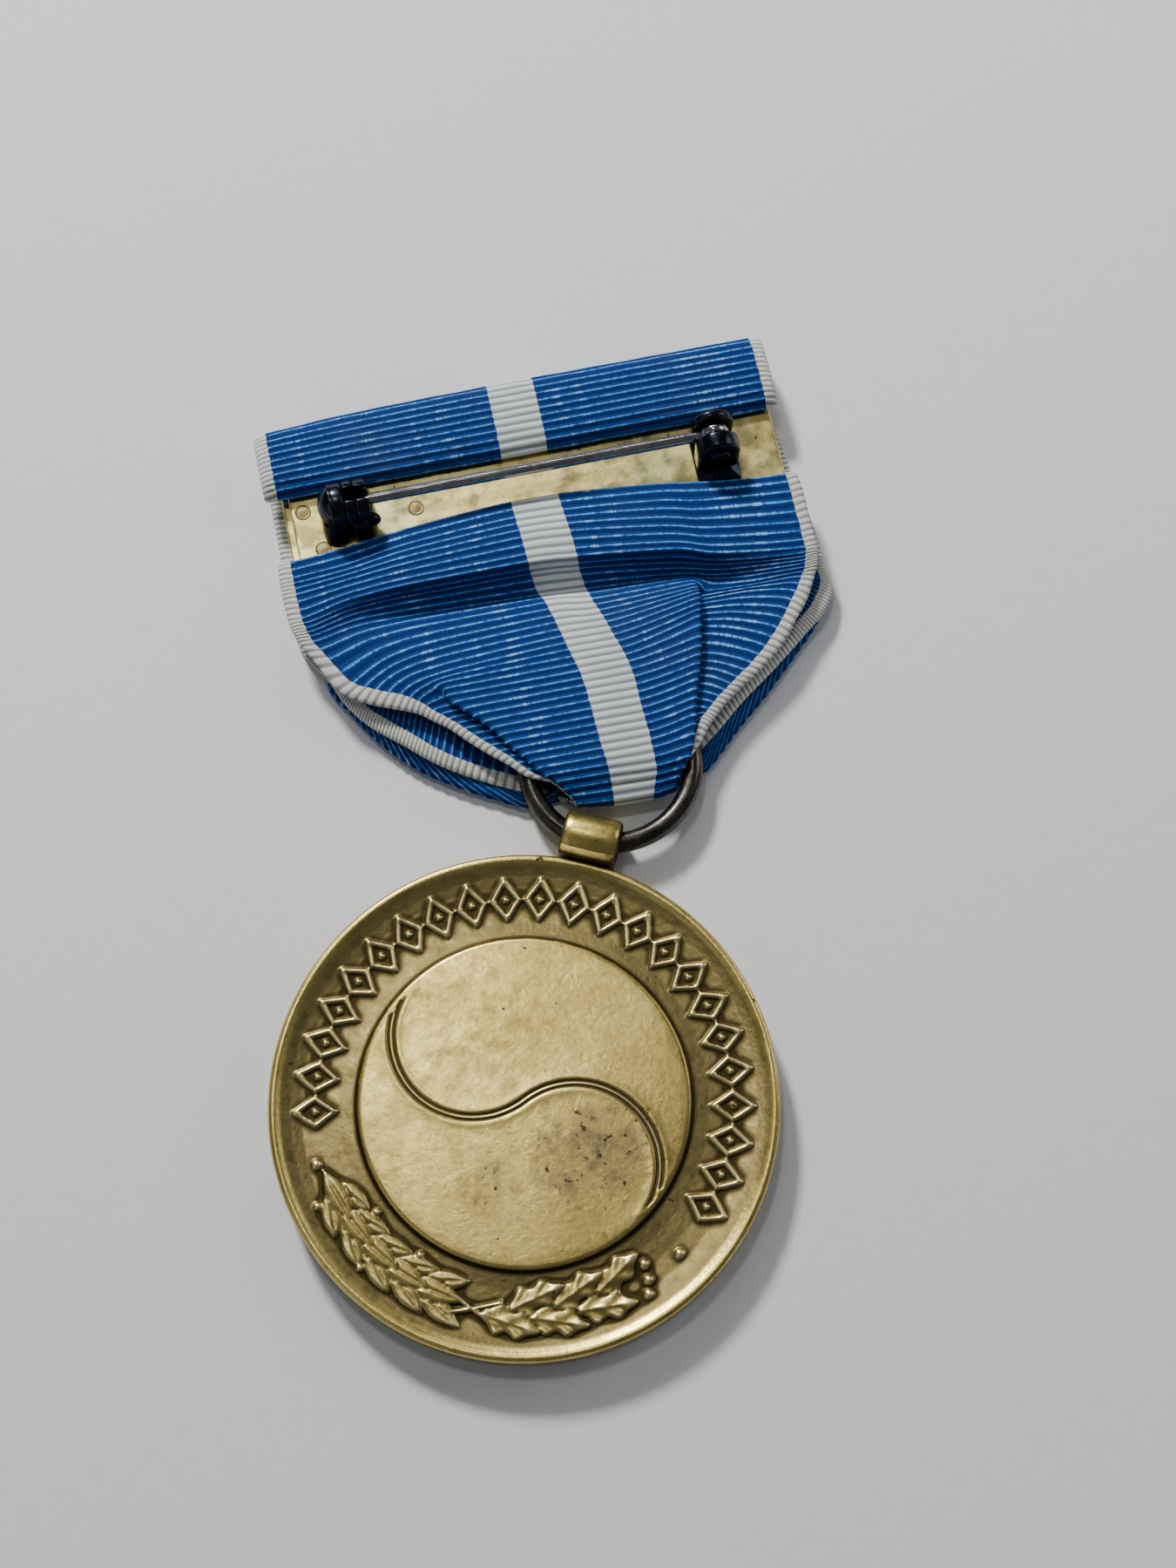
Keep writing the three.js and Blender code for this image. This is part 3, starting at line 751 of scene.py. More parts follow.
def rounded_sheet(name, node, low, high, edge, wave, material):
    """A sheet metal rectangle with rounded edges, very slightly uneven."""
    x0, y0, z0 = low
    x1, y1, z1 = high

    def stations(start, stop, count):
        ease = edge * np.array([0, 0.12, 0.45, 1.0])
        middle = np.linspace(start + edge, stop - edge, count)[1:-1]
        return np.concatenate([start + ease, middle, stop - ease[::-1]])

    def fall(inward):
        return edge - np.sqrt(np.clip(edge ** 2 - (edge - np.minimum(inward, edge)) ** 2, 0, None))

    x, y = np.meshgrid(stations(x0, x1, 120), stations(y0, y1, 42))
    drop = np.maximum(fall(np.minimum(x - x0, x1 - x)), fall(np.minimum(y - y0, y1 - y)))
    uneven = wave * (np.sin(x * 0.9 + 1.3 * np.sin(y * 0.5)) + 0.6 * np.sin(y * 1.9 + x * 0.31))
    top = np.stack([x, y, z1 - drop * 0.5 + uneven * (drop < 1e-6)], -1)
    bottom = np.stack([x, y, z0 + drop * 0.5], -1)
    piece = build(name, *skin(top, bottom), material, "brooch")
    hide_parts(node)


def rivet(name, node, x, y, material):
    """A low flat-topped rivet head with a turned edge and a shallow dimple."""
    radius, z = 0.56, 2.09
    h = 2.165 - z
    profile = [
        (0.001, 0), (radius, 0), (radius * 0.98, h * 0.6), (radius * 0.92, h), (radius * 0.84, h * 0.95),
        (radius * 0.78, h * 0.62), (radius * 0.70, h * 0.66), (radius * 0.4, h * 0.85), (0.001, h * 0.9),
    ]
    piece = build(name, *lathe(profile, (x, y, z), (0, 0, 1), 48), material, "brooch")
    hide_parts(node)


def pin(material):
    """The pin: a straight wire from a flattened eye, drawn to a point."""
    x = np.concatenate([[HINGE_X - 0.55], np.linspace(20.6, 2.0, 40), np.linspace(1.6, TIP_X, 24)])
    taper = np.clip((x - TIP_X) / 1.3, 0, 1) ** 0.6
    radius = np.maximum(0.38 * taper, 0.02)
    line = np.stack([x, np.full(len(x), PIN_Y), np.full(len(x), PIN_Z)], 1)
    section = [
        (0.42, -0.33), (0.9, -0.33), (0.98, -0.24), (1.0, 0), (0.98, 0.24), (0.9, 0.33),
        (0.42, 0.33), (0.40, 0), (0.42, -0.33),
    ]
    eye = lathe(section, (HINGE_X, PIN_Y, PIN_Z), (0, 1, 0), 56)
    piece = build("pin_wire", *merged(tube(line, radius, 28), eye), material, "pin")
    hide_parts("pin_stem")


def merged(*shells):
    """Several closed shells as one list of points and faces."""
    points, faces, first = [], [], 0
    for p, f in shells:
        points.append(np.asarray(p, float))
        faces += [[int(v) + first for v in face] for face in f]
        first += len(p)
    return np.concatenate(points), faces


def rounded_profile(half, radius, edge, bore=0):
    """(radius, along) round a thick ring or, with no bore, a rounded disc."""
    a = np.linspace(0, math.pi / 2, 6)
    outer = [(radius - edge + edge * math.sin(t), -half + edge - edge * math.cos(t)) for t in a]
    outer += [(r, -h) for r, h in reversed(outer)]
    if bore:
        ring = [(bore, -half + 0.05)] + outer + [(bore, half - 0.05)]
        return ring + [ring[0]]
    return [(0.001, -half)] + outer + [(0.001, half)]


def split_ring(x0, x1, radius, edge):
    """A ring about the pin's line, with a straight-sided slot through its top."""
    profile = rounded_profile((x1 - x0) / 2, radius, edge, 0.80)[:-1]
    mid = (x0 + x1) / 2
    turns = np.linspace(0, 1, 70)
    points = []
    for share in turns:
        for r, h in profile:
            gap = math.asin(PIN_SLOT / 2 / r)
            t = gap + share * 2 * (math.pi - gap)
            points.append((mid + h, CATCH_Y + r * math.sin(t), PIN_Z + r * math.cos(t)))
    m = len(profile)
    faces = quads(len(turns), m, wrap_cols=True).tolist()
    faces += [list(range(m))[::-1], list(range((len(turns) - 1) * m, len(turns) * m))]
    return points, faces


def spur(start, run, radii, sides):
    """A short stud: a tube along a straight run, with a radius at each step."""
    t = np.linspace(0, 1, len(radii))[:, None]
    return tube(np.array(start) + t * np.array(run), radii, sides)


def foot(cx, cy, rx, ry, z0, z1, top, power):
    """A spread foot that narrows upwards to a share of its width: a rounded oblong, the squarer
    the higher its power."""
    profile = [(0.001, z0), (0.98, z0), (1.0, z0 + 0.08)]
    for t in np.linspace(0, 1, 8):
        profile.append((top + (1 - top) * (1 - t) ** 0.6, z0 + 0.14 + (z1 - z0 - 0.14) * t))
    profile.append((0.001, z1 + 0.02))
    points, faces = lathe(profile, (0, 0, 0), (0, 0, 1), 64)
    flat = points[:, :2] / np.maximum(np.hypot(points[:, 0], points[:, 1]), 1e-9)[:, None]
    points[:, :2] *= ((np.abs(flat) ** power).sum(1) ** (-1 / power))[:, None]
    return points * np.array([rx, ry, 1.0]) + np.array([cx, cy, 0]), faces


def catch(material):
    """The safety catch: a domed barrel and a turning sleeve, each on its own spread foot. The
    sleeve's underside is sunk into the foot below it."""
    y, z = CATCH_Y, PIN_Z
    a = np.linspace(0, math.pi / 2, 12)
    profile = [(max(1.47 * math.sin(t), 0.001), -5.55 + 1.25 * (1 - math.cos(t))) for t in a]
    profile += [(1.47, -3.98), (1.44, -3.86), (1.36, -3.79), (1.2, -3.76), (0.6, -3.76), (0.001, -3.76)]
    barrel = lathe(profile, (0, y, z), (1, 0, 0), 72)
    bead = [(r, -4.62 + h) for r, h in rounded_profile(0.10, 1.52, 0.06)]
    collar = lathe(bead, (0, y, z), (1, 0, 0), 72)
    base = foot(-4.50, y, 1.02, 1.96, PLATE_FACE, 3.9, 0.80, 3)
    end_foot = foot(-2.80, y, 0.98, 1.90, PLATE_FACE, 3.66, 0.80, 3)
    piece = build("catch_barrel", *merged(barrel, collar, base, end_foot), material, "brooch")
    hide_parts("catch_body")
    band = split_ring(-3.73, -3.08, 1.50, 0.13)
    sleeve = split_ring(-3.12, -2.08, 1.47, 0.31)
    stop = spur((-3.38, y - 0.95, z + 0.42), (0, -0.42, -0.12), [0.26, 0.27, 0.27, 0.26, 0.21, 0.10], 18)
    thumb = [0.44, 0.50, 0.52, 0.52, 0.50, 0.47, 0.43, 0.37, 0.27, 0.10]
    tab = spur((-2.62, y - 1.12, z - 0.30), (1.06, -0.30, -0.10), thumb, 24)
    piece = build("catch_sleeve", *merged(band, sleeve, stop, tab), material, "rotor")
    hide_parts("catch_rotor")


def hinge(material):
    """The hinge: two round-topped ears on one oblong foot, with the pivot's burred heads."""
    x, z = HINGE_X, PIN_Z
    shells = []
    for low, high in ((39.55, 40.80), (41.72, 42.35)):
        half = (high - low) / 2
        y = low + half
        shells.append(lathe(rounded_profile(half, 1.46, min(0.24, half * 0.7)), (x, y, z), (0, 1, 0), 64))
        shells.append(foot(x, y, 1.44, half, 2.3, z, 1.0, 9))
    shells.append(foot(x, 40.58, 1.52, 2.18, PLATE_FACE, 2.52, 0.96, 9))
    piece = build("hinge_ears", *merged(*shells), material, "brooch")
    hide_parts("hinge_base")
    profile = [
        (0.001, 39.30), (0.44, 39.32), (0.64, 39.40), (0.70, 39.52), (0.36, 39.56),
        (0.36, 42.33), (0.70, 42.37), (0.64, 42.47), (0.44, 42.53), (0.001, 42.55),
    ]
    piece = build("hinge_pivot", *lathe(profile, (x, 0, z), (0, 1, 0), 48), material, "brooch")
    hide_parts("hinge_rivet")


# ------ ribbon
PITCH = 0.56  # from rib to rib
CLOTH = 0.24  # thickness between the ribs
RIB_HEIGHT = 0.085
BORDER = 16.3  # the rolled selvedge begins here, counted from the ribbon's middle
FOLD_START = 10.5  # along the front ribbon, where its sides are first folded behind


def cloth(name, net, counts, per_rib, material, first_rib=0.0, flap=None):
    """A ribbed ribbon from a net of (x, y, z, across) points.

    Rows of the net run across the ribbon and follow the ribs. The surface passes through
    every point of the net; each rib is one cord of the weave. flap is a share for each
    column of the net: where the ribbon is folded back on the slant its ribs lie closer.
    """
    net = np.asarray(net, float)
    centre = (net[:, 4] + net[:, 5])[:, :3] / 2
    steps = np.linalg.norm(np.diff(centre, axis=0), axis=1)
    along = np.concatenate([[0], np.cumsum(steps)])
    fine = pchip(along, centre, np.linspace(0, along[-1], 800))
    length = np.linalg.norm(np.diff(fine, axis=0), axis=1).sum()
    v = np.linspace(0, along[-1], int(length / PITCH * per_rib))
    rows = pchip(along, net, v)
    knots = np.arange(net.shape[1], dtype=float)
    u = np.concatenate([k + np.arange(c) / c for k, c in enumerate(counts)] + [[len(counts)]])
    surface = np.moveaxis(pchip(knots, np.moveaxis(rows, 1, 0), u), 0, 1)
    place, across = surface[..., :3], surface[..., 3]
    rib = first_rib + np.repeat((v / along[-1] * length / PITCH)[:, None], len(u), 1)
    if flap is not None:
        share = pchip(knots, np.array(flap, float), u)
        rib = rib + 0.65 * share[None, :] * np.clip(v - FOLD_START, 0, None)[:, None] / PITCH

    normal = np.cross(np.gradient(place, axis=1), np.gradient(place, axis=0))
    normal = normal / np.maximum(np.linalg.norm(normal, axis=2, keepdims=True), 1e-9)
    for _ in range(2):
        padded = np.pad(normal, ((1, 1), (1, 1), (0, 0)), mode="edge")
        normal = sum(padded[a:a + len(v), b:b + len(u)] for a in range(3) for b in range(3))
        normal /= np.maximum(np.linalg.norm(normal, axis=2, keepdims=True), 1e-9)

    # cords across the width, and closer slanting ones round the rolled selvedge
    twist = np.cos(2 * math.pi * 1.5 * rib + 2.4 * (np.abs(across) - 16.9))
    cord = np.where(np.abs(across) > BORDER + 0.1, twist, np.cos(2 * math.pi * rib))
    border = np.clip((np.abs(across) - BORDER) / 1.15, 0, 1)
    inside = border <= 0
    swell = np.sqrt(np.clip(1 - (2 * border - 0.75) ** 2 / 1.5626, 0.0, 1))
    thick = np.where(inside, CLOTH / 2, CLOTH / 2 * 1.15 * swell + 0.004)
    crest = cord * 0.5 + 0.5
    lift = np.where(inside, RIB_HEIGHT * crest ** 0.8, RIB_HEIGHT * crest * swell)
    wander = 0.012 * np.sin(across * 1.7 + rib * 2.1) + 0.010 * np.sin(across * 0.53 - rib * 1.3)
    over = place + normal * (thick + lift + wander * inside)[..., None]
    under = place - normal * (thick + lift * 0.9)[..., None]
    points, faces = skin(over, under)
    across, ribs = np.tile(across.ravel(), 2), np.tile(rib.ravel(), 2)
    piece = build(name, points, faces, material, across=across, rib=ribs)
    return piece, rib[-1, 0]


def span(x, y, z, across):
    """One row of a net. A single number holds all along the row."""
    return np.stack(np.broadcast_arrays(*(np.asarray(a, float) for a in (x, y, z, across))), 1)


def top_wrap(material):
    """The ribbon laid over the bar: a rolled hem behind, up the back, over the top, down the front."""
    across = [-17.45, -16.3, -11, -5, -1.525, 1.525, 5, 11, 16.3, 17.45]
    back = np.array([-8.95, -7.85, -2.4, 3.6, 7.25, 10.4, 14, 20, 25.45, 26.45])
    front = np.array([-8.7, -7.6, -2.2, 3.8, 7.2, 10.3, 13.8, 19.8, 25.2, 26.3])
    arch = np.array([-0.5, -0.42, -0.12, 0, 0.02, 0.02, 0.02, 0, -0.02, -0.05])
    rows = []
    for y, z, share, bow in (
        (45.4, 2.26, 1, 0), (44.2, 2.27, 1, 0), (43.5, 2.34, 1, 0), (43.34, 2.56, 1, 0),
        (43.6, 2.84, 1, 0.05), (44.1, 3.08, 1, 0.1), (44.7, 3.20, 1, 0.3), (46.2, 3.22, 1, 0.6),
        (47.7, 3.05, 1, 0.9), (48.45, 2.62, 1, 1), (48.72, 2.0, 0.8, 1), (48.76, 1.3, 0.5, 1),
        (48.5, 0.62, 0.2, 1), (47.8, 0.27, 0, 0.8), (46, 0.22, 0, 0.4), (43.02, 0.22, 0, 0),
    ):
        rows.append(span(back * share + front * (1 - share), y + arch * bow, z, across))
    counts = [4, 12, 12, 8, 7, 8, 12, 12, 4]
    piece, last = cloth("ribbon_wrap_cloth", rows, counts, 7, material)
    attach(piece, "brooch")
    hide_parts("ribbon_top_wrap")
    return last


def back_leaf(material):
    """The back of the ribbon: rolled top edge, bulge over the plate, lip and valley, then the
    tapering lower panel with a pleat down each side, and the turn through the ring."""
    flat = np.array([-17.45, -16.3, -12.5, -9.2, -1.525, 1.525, 8.4, 10.5, 13, 16.3, 17.45])
    drawn_in = np.array([0, 0, 4.5, 3.4, 0, 0, -4.0, -3.5, -1.0, 0, 0])  # by the pleats, lower down
    edge = [-8.9, -7.8, -4.5, -0.3, 7.2, 10.4, 17.3, 19.2, 21.8, 25.5, 26.5]
    table = [  # x, y and z of the eleven stations of each row, from the top edge down
        (edge, [37.4, 37.4, 37.6, 38.1, 38.6, 38.6, 37.9, 37.6, 37.2, 36.9, 36.9], 2.30),
        (edge, [38.4, 38.4, 38.6, 39.1, 39.7, 39.7, 38.9, 38.6, 38.2, 37.9, 37.9], 2.42),
        (edge, [38.3, 38.35, 38.6, 39.1, 39.65, 39.6, 38.9, 38.6, 38.2, 37.9, 37.9], 2.80),
        ([-8.95, -7.8, -4.5, -0.3, 7.25, 10.45, 17.3, 19.2, 21.8, 25.5, 26.6],
         [37.2, 37.2, 37.4, 38.0, 38.4, 38.3, 37.6, 37.2, 36.9, 36.6, 36.6],
         [2.9, 2.95, 2.95, 3.0, 3.05, 3.05, 3.05, 3.0, 3.0, 2.95, 2.9]),
        ([-8.95, -7.8, -4.4, -0.2, 7.35, 10.6, 17.4, 19.3, 21.8, 25.5, 26.6],
         [35.9, 35.9, 36.2, 36.5, 36.7, 36.5, 35.5, 35.0, 34.6, 34.2, 34.2],
         [2.85, 2.95, 3.05, 3.2, 3.3, 3.3, 3.2, 3.1, 3.1, 2.95, 2.85]),
        ([-8.85, -7.7, -4.3, -0.1, 7.45, 10.7, 17.6, 19.4, 21.7, 25.5, 26.6],
         [34.2, 34.2, 34.9, 35.1, 35.05, 34.8, 33.8, 33.2, 32.8, 32.4, 32.4],
         [2.8, 2.9, 3.0, 3.15, 3.2, 3.2, 3.3, 3.2, 3.1, 2.9, 2.8]),
        ([-8.75, -7.6, -4.2, -0.1, 7.5, 10.75, 17.7, 19.6, 21.9, 25.4, 26.5],
         [33.6, 33.6, 34.5, 34.8, 34.75, 34.5, 33.45, 32.85, 32.4, 31.9, 31.9],
         [2.75, 2.85, 2.6, 2.35, 2.3, 2.3, 2.3, 2.4, 2.6, 2.8, 2.75]),
        ([-8.4, -7.3, -4.1, 0.0, 7.8, 10.95, 17.8, 19.7, 22.1, 25.2, 26.3],
         [32.6, 32.6, 33.3, 33.5, 33.3, 33.1, 32.5, 31.9, 31.5, 31.2, 31.2],
         [2.65, 2.7, 2.2, 1.6, 1.42, 1.42, 1.5, 1.75, 2.15, 2.65, 2.65]),
        ([-7.7, -6.6, -3.7, 0.1, 8.05, 11.1, 17.9, 18.9, 21.5, 24.9, 25.9],
         [31.3, 31.4, 32.2, 32.5, 32.5, 32.15, 31.8, 31.2, 30.9, 30.7, 30.4],
         [2.55, 2.6, 2.4, 2.1, 1.9, 1.9, 2.3, 1.9, 2.05, 2.5, 2.55]),
        ([-6.3, -5.3, -2.8, 0.3, 8.3, 11.4, 18.0, 17.5, 20.8, 24.3, 25.1],
         [28.7, 29.4, 30.6, 31.1, 31.35, 31.1, 31.15, 30.6, 30.5, 29.8, 29.0],
         [2.5, 2.55, 2.55, 2.4, 2.2, 2.2, 2.75, 1.9, 2.05, 2.45, 2.5]),
        ([-4.5, -3.8, -1.9, 0.5, 8.55, 11.7, 17.98, 17.1, 20.2, 23.4, 24.1],
         [27.5, 28.5, 29.4, 29.75, 30.1, 30.0, 30.6, 30.0, 29.6, 28.6, 27.8],
         [2.55, 2.65, 2.65, 2.6, 2.45, 2.45, 2.95, 2.0, 2.1, 2.4, 2.45]),
        ([-2.9, -2.3, -1.1, 0.6, 8.75, 11.95, 17.85, 16.9, 19.7, 22.4, 23.1],
         [26.8, 27.8, 28.3, 28.55, 28.95, 28.9, 29.8, 29.2, 28.6, 27.4, 26.6],
         [2.6, 2.7, 2.8, 2.8, 2.65, 2.65, 3.05, 2.1, 2.15, 2.35, 2.4]),
        ([-1.7, -1.3, -0.4, 0.4, 9.0, 12.25, 17.65, 16.7, 19.1, 21.3, 22.0],
         [26.3, 27.1, 27.5, 27.75, 27.85, 27.8, 28.9, 28.3, 27.5, 26.3, 25.6],
         [2.5, 2.6, 2.75, 3.0, 2.8, 2.8, 3.05, 2.2, 2.2, 2.3, 2.35]),
        ([-0.9, -0.5, 1.2, 0.45, 9.2, 12.45, 17.35, 16.4, 18.5, 20.2, 20.9],
         [25.7, 26.3, 26.5, 26.85, 26.8, 26.8, 27.5, 27.0, 26.3, 25.4, 24.8],
         [2.4, 2.45, 2.45, 3.05, 2.9, 2.9, 3.1, 2.3, 2.25, 2.3, 2.3]),
        ([0.1, 0.65, 2.6, 1.7, 9.35, 12.6, 16.95, 16.0, 17.7, 18.8, 19.5],
         [24.9, 25.3, 25.3, 25.45, 25.45, 25.4, 26.0, 25.6, 25.1, 24.4, 23.9],
         [2.35, 2.45, 2.5, 3.1, 2.98, 2.98, 3.12, 2.45, 2.35, 2.35, 2.3]),
        ([1.2, 1.75, 3.9, 2.9, 9.4, 12.6, 16.5, 15.5, 16.8, 17.6, 18.2],
         [23.7, 24.1, 24.0, 24.05, 24.05, 24.0, 24.6, 24.2, 23.9, 23.5, 23.0],
         [2.4, 2.5, 2.55, 3.1, 3.0, 3.0, 3.12, 2.55, 2.45, 2.4, 2.35]),
        ([2.3, 2.85, 4.7, 3.7, 9.45, 12.65, 16.1, 15.1, 16.1, 16.7, 17.3],
         [22.6, 23.0, 22.85, 22.85, 22.85, 22.8, 23.3, 23.0, 22.9, 22.7, 22.2],
         [2.45, 2.55, 2.6, 3.08, 2.98, 2.98, 3.1, 2.6, 2.5, 2.45, 2.4]),
        ([3.4, 3.9, 5.6, 4.6, 9.5, 12.7, 15.75, 14.8, 15.6, 16.1, 16.7],
         [21.6, 21.9, 21.7, 21.7, 21.65, 21.6, 22.1, 21.9, 21.8, 22.1, 21.6],
         [2.5, 2.6, 2.65, 3.02, 2.95, 2.95, 3.05, 2.65, 2.55, 2.5, 2.45]),
        ([4.4, 4.8, 6.2, 5.3, 9.6, 12.7, 15.4, 14.5, 15.0, 15.5, 16.0],
         [20.6, 20.85, 20.7, 20.7, 20.6, 20.55, 20.9, 20.7, 20.7, 21.0, 20.7],
         [2.5, 2.55, 2.6, 2.95, 2.9, 2.9, 2.95, 2.6, 2.55, 2.5, 2.45]),
        ([5.9, 6.0, 6.8, 6.2, 9.65, 12.7, 14.9, 14.1, 14.5, 14.9, 15.1],
         [19.85, 19.9, 19.85, 19.85, 19.75, 19.6, 19.8, 19.7, 19.7, 19.8, 19.8],
         [2.5, 2.5, 2.5, 2.68, 2.66, 2.66, 2.72, 2.5, 2.5, 2.5, 2.5]),
        ([6.6, 6.7, 7.3, 6.85, 9.65, 12.5, 14.2, 13.5, 13.8, 14.0, 14.2],
         [19.1, 19.1, 19.1, 19.1, 18.95, 18.85, 19.0, 19.0, 19.0, 19.0, 19.05],
         [2.15, 2.15, 2.15, 2.22, 2.24, 2.24, 2.24, 2.15, 2.15, 2.15, 2.15]),
        ([7.1, 7.2, 7.7, 7.3, 9.6, 12.2, 13.6, 13.0, 13.2, 13.5, 13.7],
         [18.5, 18.5, 18.45, 18.4, 18.1, 18.0, 18.25, 18.3, 18.3, 18.4, 18.4], 1.75),
        ([7.1, 7.2, 7.7, 7.3, 9.6, 12.2, 13.6, 13.0, 13.2, 13.5, 13.7],
         [18.5, 18.5, 18.45, 18.4, 18.05, 17.95, 18.2, 18.3, 18.3, 18.4, 18.4], 1.25),
        ([6.7, 6.8, 7.3, 6.9, 9.6, 12.3, 14.0, 13.4, 13.6, 13.9, 14.1],
         [19.0, 19.0, 18.9, 18.9, 18.5, 18.4, 18.6, 18.8, 18.8, 18.9, 19.0], 0.78),
        ([6.1, 6.3, 6.9, 6.5, 9.6, 12.5, 14.5, 13.6, 14.0, 14.6, 14.9], 19.4, 0.50),
    ]
    low = np.clip((np.arange(len(table)) - 9) / 9, 0, 1)
    rows = [span(x, y, z, flat + share * drawn_in) for (x, y, z), share in zip(table, low)]
    counts = [4, 9, 8, 18, 7, 14, 7, 8, 10, 4]
    piece, _ = cloth("ribbon_back_cloth", rows, counts, 7, material)
    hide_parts("ribbon_back_leaf", "ribbon_loop")
    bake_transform(piece)


def front_leaf(material, first):
    """The front of the ribbon: full width beside the bar, tapering to the ring, its sides
    folded behind with the selvedges lying along the folds."""
    across = [-17.45, -16.3, -13, -9.5, -7.5, -1.525, 1.525, 7.5, 9.5, 13, 16.3, 17.45]
    table = [  # x and y of the twelve stations of each row, and z of the first six
        ([-8.7, -7.6, -6.9, -6.0, -3.5, 7.2, 10.3, 20.9, 23.5, 24.4, 25.2, 26.3], 43.0, 0.22),
        ([-8.7, -7.6, -6.9, -6.0, -3.5, 7.2, 10.3, 20.9, 23.6, 24.7, 25.7, 26.8], 38.0, 0.25),
        ([-8.7, -7.6, -6.9, -6.0, -3.5, 7.3, 10.4, 21.0, 23.8, 25.1, 26.1, 27.2], 34.5, 0.35),
        ([-8.2, -7.2, -6.7, -6.3, -3.6, 7.5, 10.6, 21.2, 24.6, 25.4, 26.2, 27.2],
         [32.2, 32.2, 32.2, 32.1, 32.2, 32.2, 32.2, 32.2, 32.1, 32.2, 32.2, 32.2],
         [0.6, 0.6, 0.5, 0.4, 0.35, 0.35]),
        ([-7.1, -6.4, -5.6, -7.0, -4.4, 7.8, 10.9, 21.6, 27.0, 25.4, 26.4, 27.3],
         [30.4, 30.9, 31.3, 30.1, 30.1, 30.2, 30.2, 30.1, 30.1, 31.3, 30.9, 30.4],
         [1.0, 1.0, 0.75, 0.45, 0.3, 0.3]),
        ([-6.35, -5.6, -4.6, -5.95, -4.0, 8.2, 11.3, 21.6, 25.6, 24.4, 25.5, 26.4],
         [28.5, 29.3, 30.4, 28.0, 28.1, 28.2, 28.2, 28.1, 28.0, 30.6, 29.3, 28.5],
         [1.3, 1.4, 1.1, 0.5, 0.3, 0.28]),
        ([-5.05, -4.5, -3.5, -4.6, -2.8, 8.5, 11.6, 20.8, 23.4, 22.9, 24.0, 24.6],
         [26.6, 27.7, 29.6, 25.8, 25.9, 26.0, 26.0, 25.9, 25.8, 29.8, 28.0, 27.0],
         [1.35, 1.5, 1.3, 0.5, 0.3, 0.28]),
        ([-3.1, -2.6, -1.7, -2.6, -1.0, 8.8, 11.9, 19.4, 20.9, 20.5, 21.6, 22.0],
         [24.8, 25.9, 28.3, 23.5, 23.6, 23.7, 23.7, 23.6, 23.5, 28.2, 26.1, 25.0],
         [1.35, 1.5, 1.3, 0.5, 0.3, 0.28]),
        ([-0.9, -0.5, 0.4, -0.1, 1.3, 9.0, 12.1, 17.7, 18.6, 18.2, 19.1, 19.4],
         [22.9, 24.0, 26.4, 21.6, 21.6, 21.7, 21.7, 21.6, 21.6, 26.4, 24.3, 23.2],
         [1.2, 1.35, 1.2, 0.5, 0.3, 0.28]),
        ([1.6, 1.9, 2.8, 2.3, 3.6, 9.3, 12.3, 16.2, 17.1, 16.6, 17.2, 17.6],
         [21.4, 22.5, 24.8, 20.2, 20.3, 20.4, 20.4, 20.3, 20.2, 24.8, 22.9, 21.8],
         [0.9, 0.95, 0.85, 0.45, 0.3, 0.28]),
        ([3.9, 4.1, 5.0, 4.3, 5.6, 9.5, 12.5, 14.9, 15.9, 15.2, 15.6, 15.9],
         [20.3, 21.4, 22.6, 19.3, 19.5, 19.7, 19.7, 19.5, 19.3, 22.6, 21.6, 20.5],
         [0.68, 0.66, 0.6, 0.45, 0.32, 0.3]),
        ([6.0, 6.2, 6.9, 6.4, 7.2, 9.6, 12.5, 13.6, 14.4, 14.0, 14.5, 14.9],
         [19.5, 19.6, 19.7, 19.35, 19.35, 19.3, 19.3, 19.25, 19.2, 19.5, 19.4, 19.3], 0.42),
    ]
    rows = []
    for x, y, z in table:
        both_sides = z if np.isscalar(z) else z + z[::-1]
        rows.append(span(x, y, both_sides, across)[::-1])  # reversed, so that its face is down
    counts = [4, 5, 5, 5, 15, 6, 15, 5, 5, 5, 4]
    flap = [1, 1, 1, 0, 0, 0, 0, 0, 0, 1, 1, 1]
    piece, _ = cloth("ribbon_front_cloth", rows, counts, 11, material, first, flap)
    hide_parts("ribbon_front_leaf")
    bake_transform(piece)


# ------ assembly
camera()
studio()

FLOOR_REACH = 3000
FLOOR_Z = -0.06
corners = [[x * FLOOR_REACH, y * FLOOR_REACH, FLOOR_Z] for x, y in ((-1, -1), (1, -1), (1, 1), (-1, 1))]
floor = build("floor", corners, [[0, 1, 2, 3]], floor_paper(), smooth=False)

BRONZE = bronze()
BRASS = plate_brass()
BLACK = metal("black_oxide_gloss", (0.012, 0.014, 0.022), (0.05, 0.055, 0.075), 0.22, 500, 0.00001)
RING = metal("ring_bronze_grey", (0.04, 0.036, 0.032), (0.115, 0.105, 0.09), 0.30, 400, 0.00002)
DRAWN = (150, 5000, 5000)  # scratches run along the wire
STEEL = metal("pin_steel_drawn", (0.30, 0.30, 0.31), (0.62, 0.62, 0.63), 0.15, 500, 0.00002, DRAWN)
DULL = metal("rivet_brass_dull", (0.15, 0.11, 0.045), (0.36, 0.28, 0.12), 0.42, 700, 0.00002)
WEAVE = ribbon_weave()

medallion(BRONZE)
lug(BRONZE)
ring(RING)

rounded_sheet("plate_sheet", "back_plate", (-7.4, 36.7, 1.6), (25.9, 47.9, 2.1), 0.14, 0.008, BRASS)
rounded_sheet("bar_sheet", "carrier_bar", (-7.9, 37.0, 0.45), (25.5, 48.0, 1.55), 0.2, 0.003, BRASS)
for number, (x, y) in enumerate(((-6.6, 42.2), (-5.7, 39.3), (0.9, 41.0)), 1):
    rivet(f"rivet_head_{number}", f"plate_rivet_{number}", x, y, DULL)
catch(BLACK)
hinge(BLACK)
pin(STEEL)

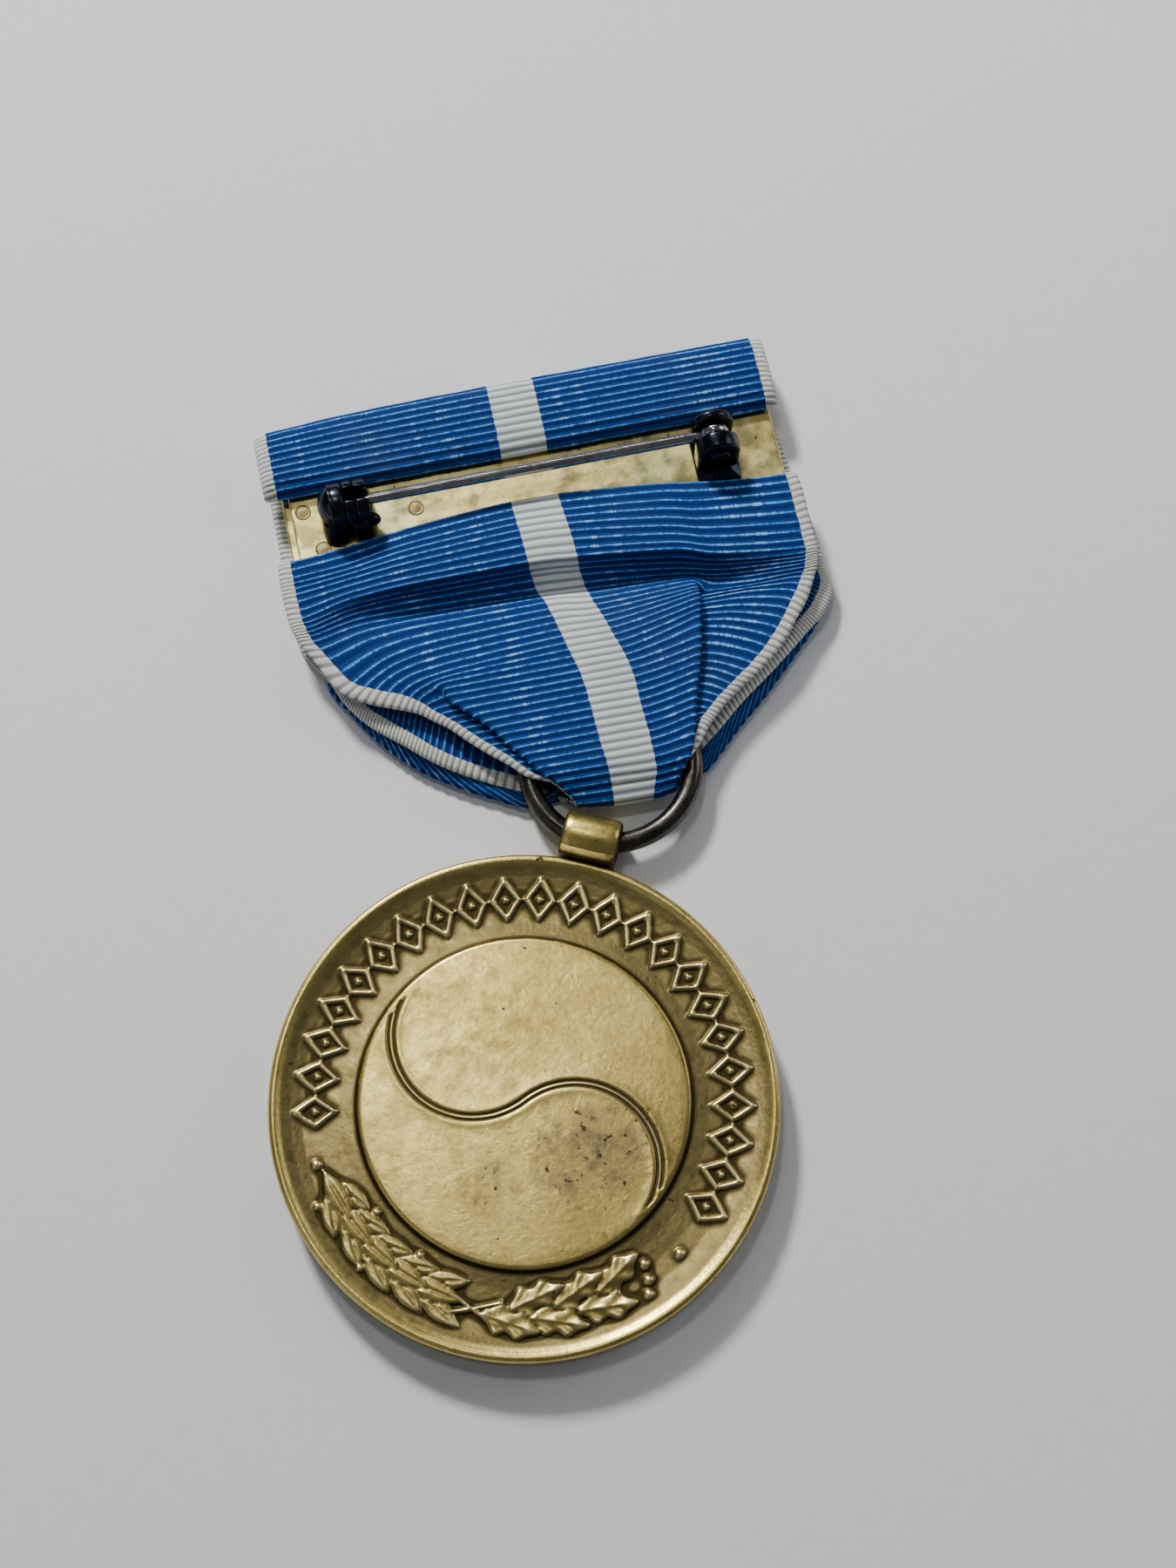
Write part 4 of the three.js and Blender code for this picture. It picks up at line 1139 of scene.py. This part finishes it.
top_ribs = top_wrap(WEAVE)
back_leaf(WEAVE)
front_leaf(WEAVE, top_ribs)
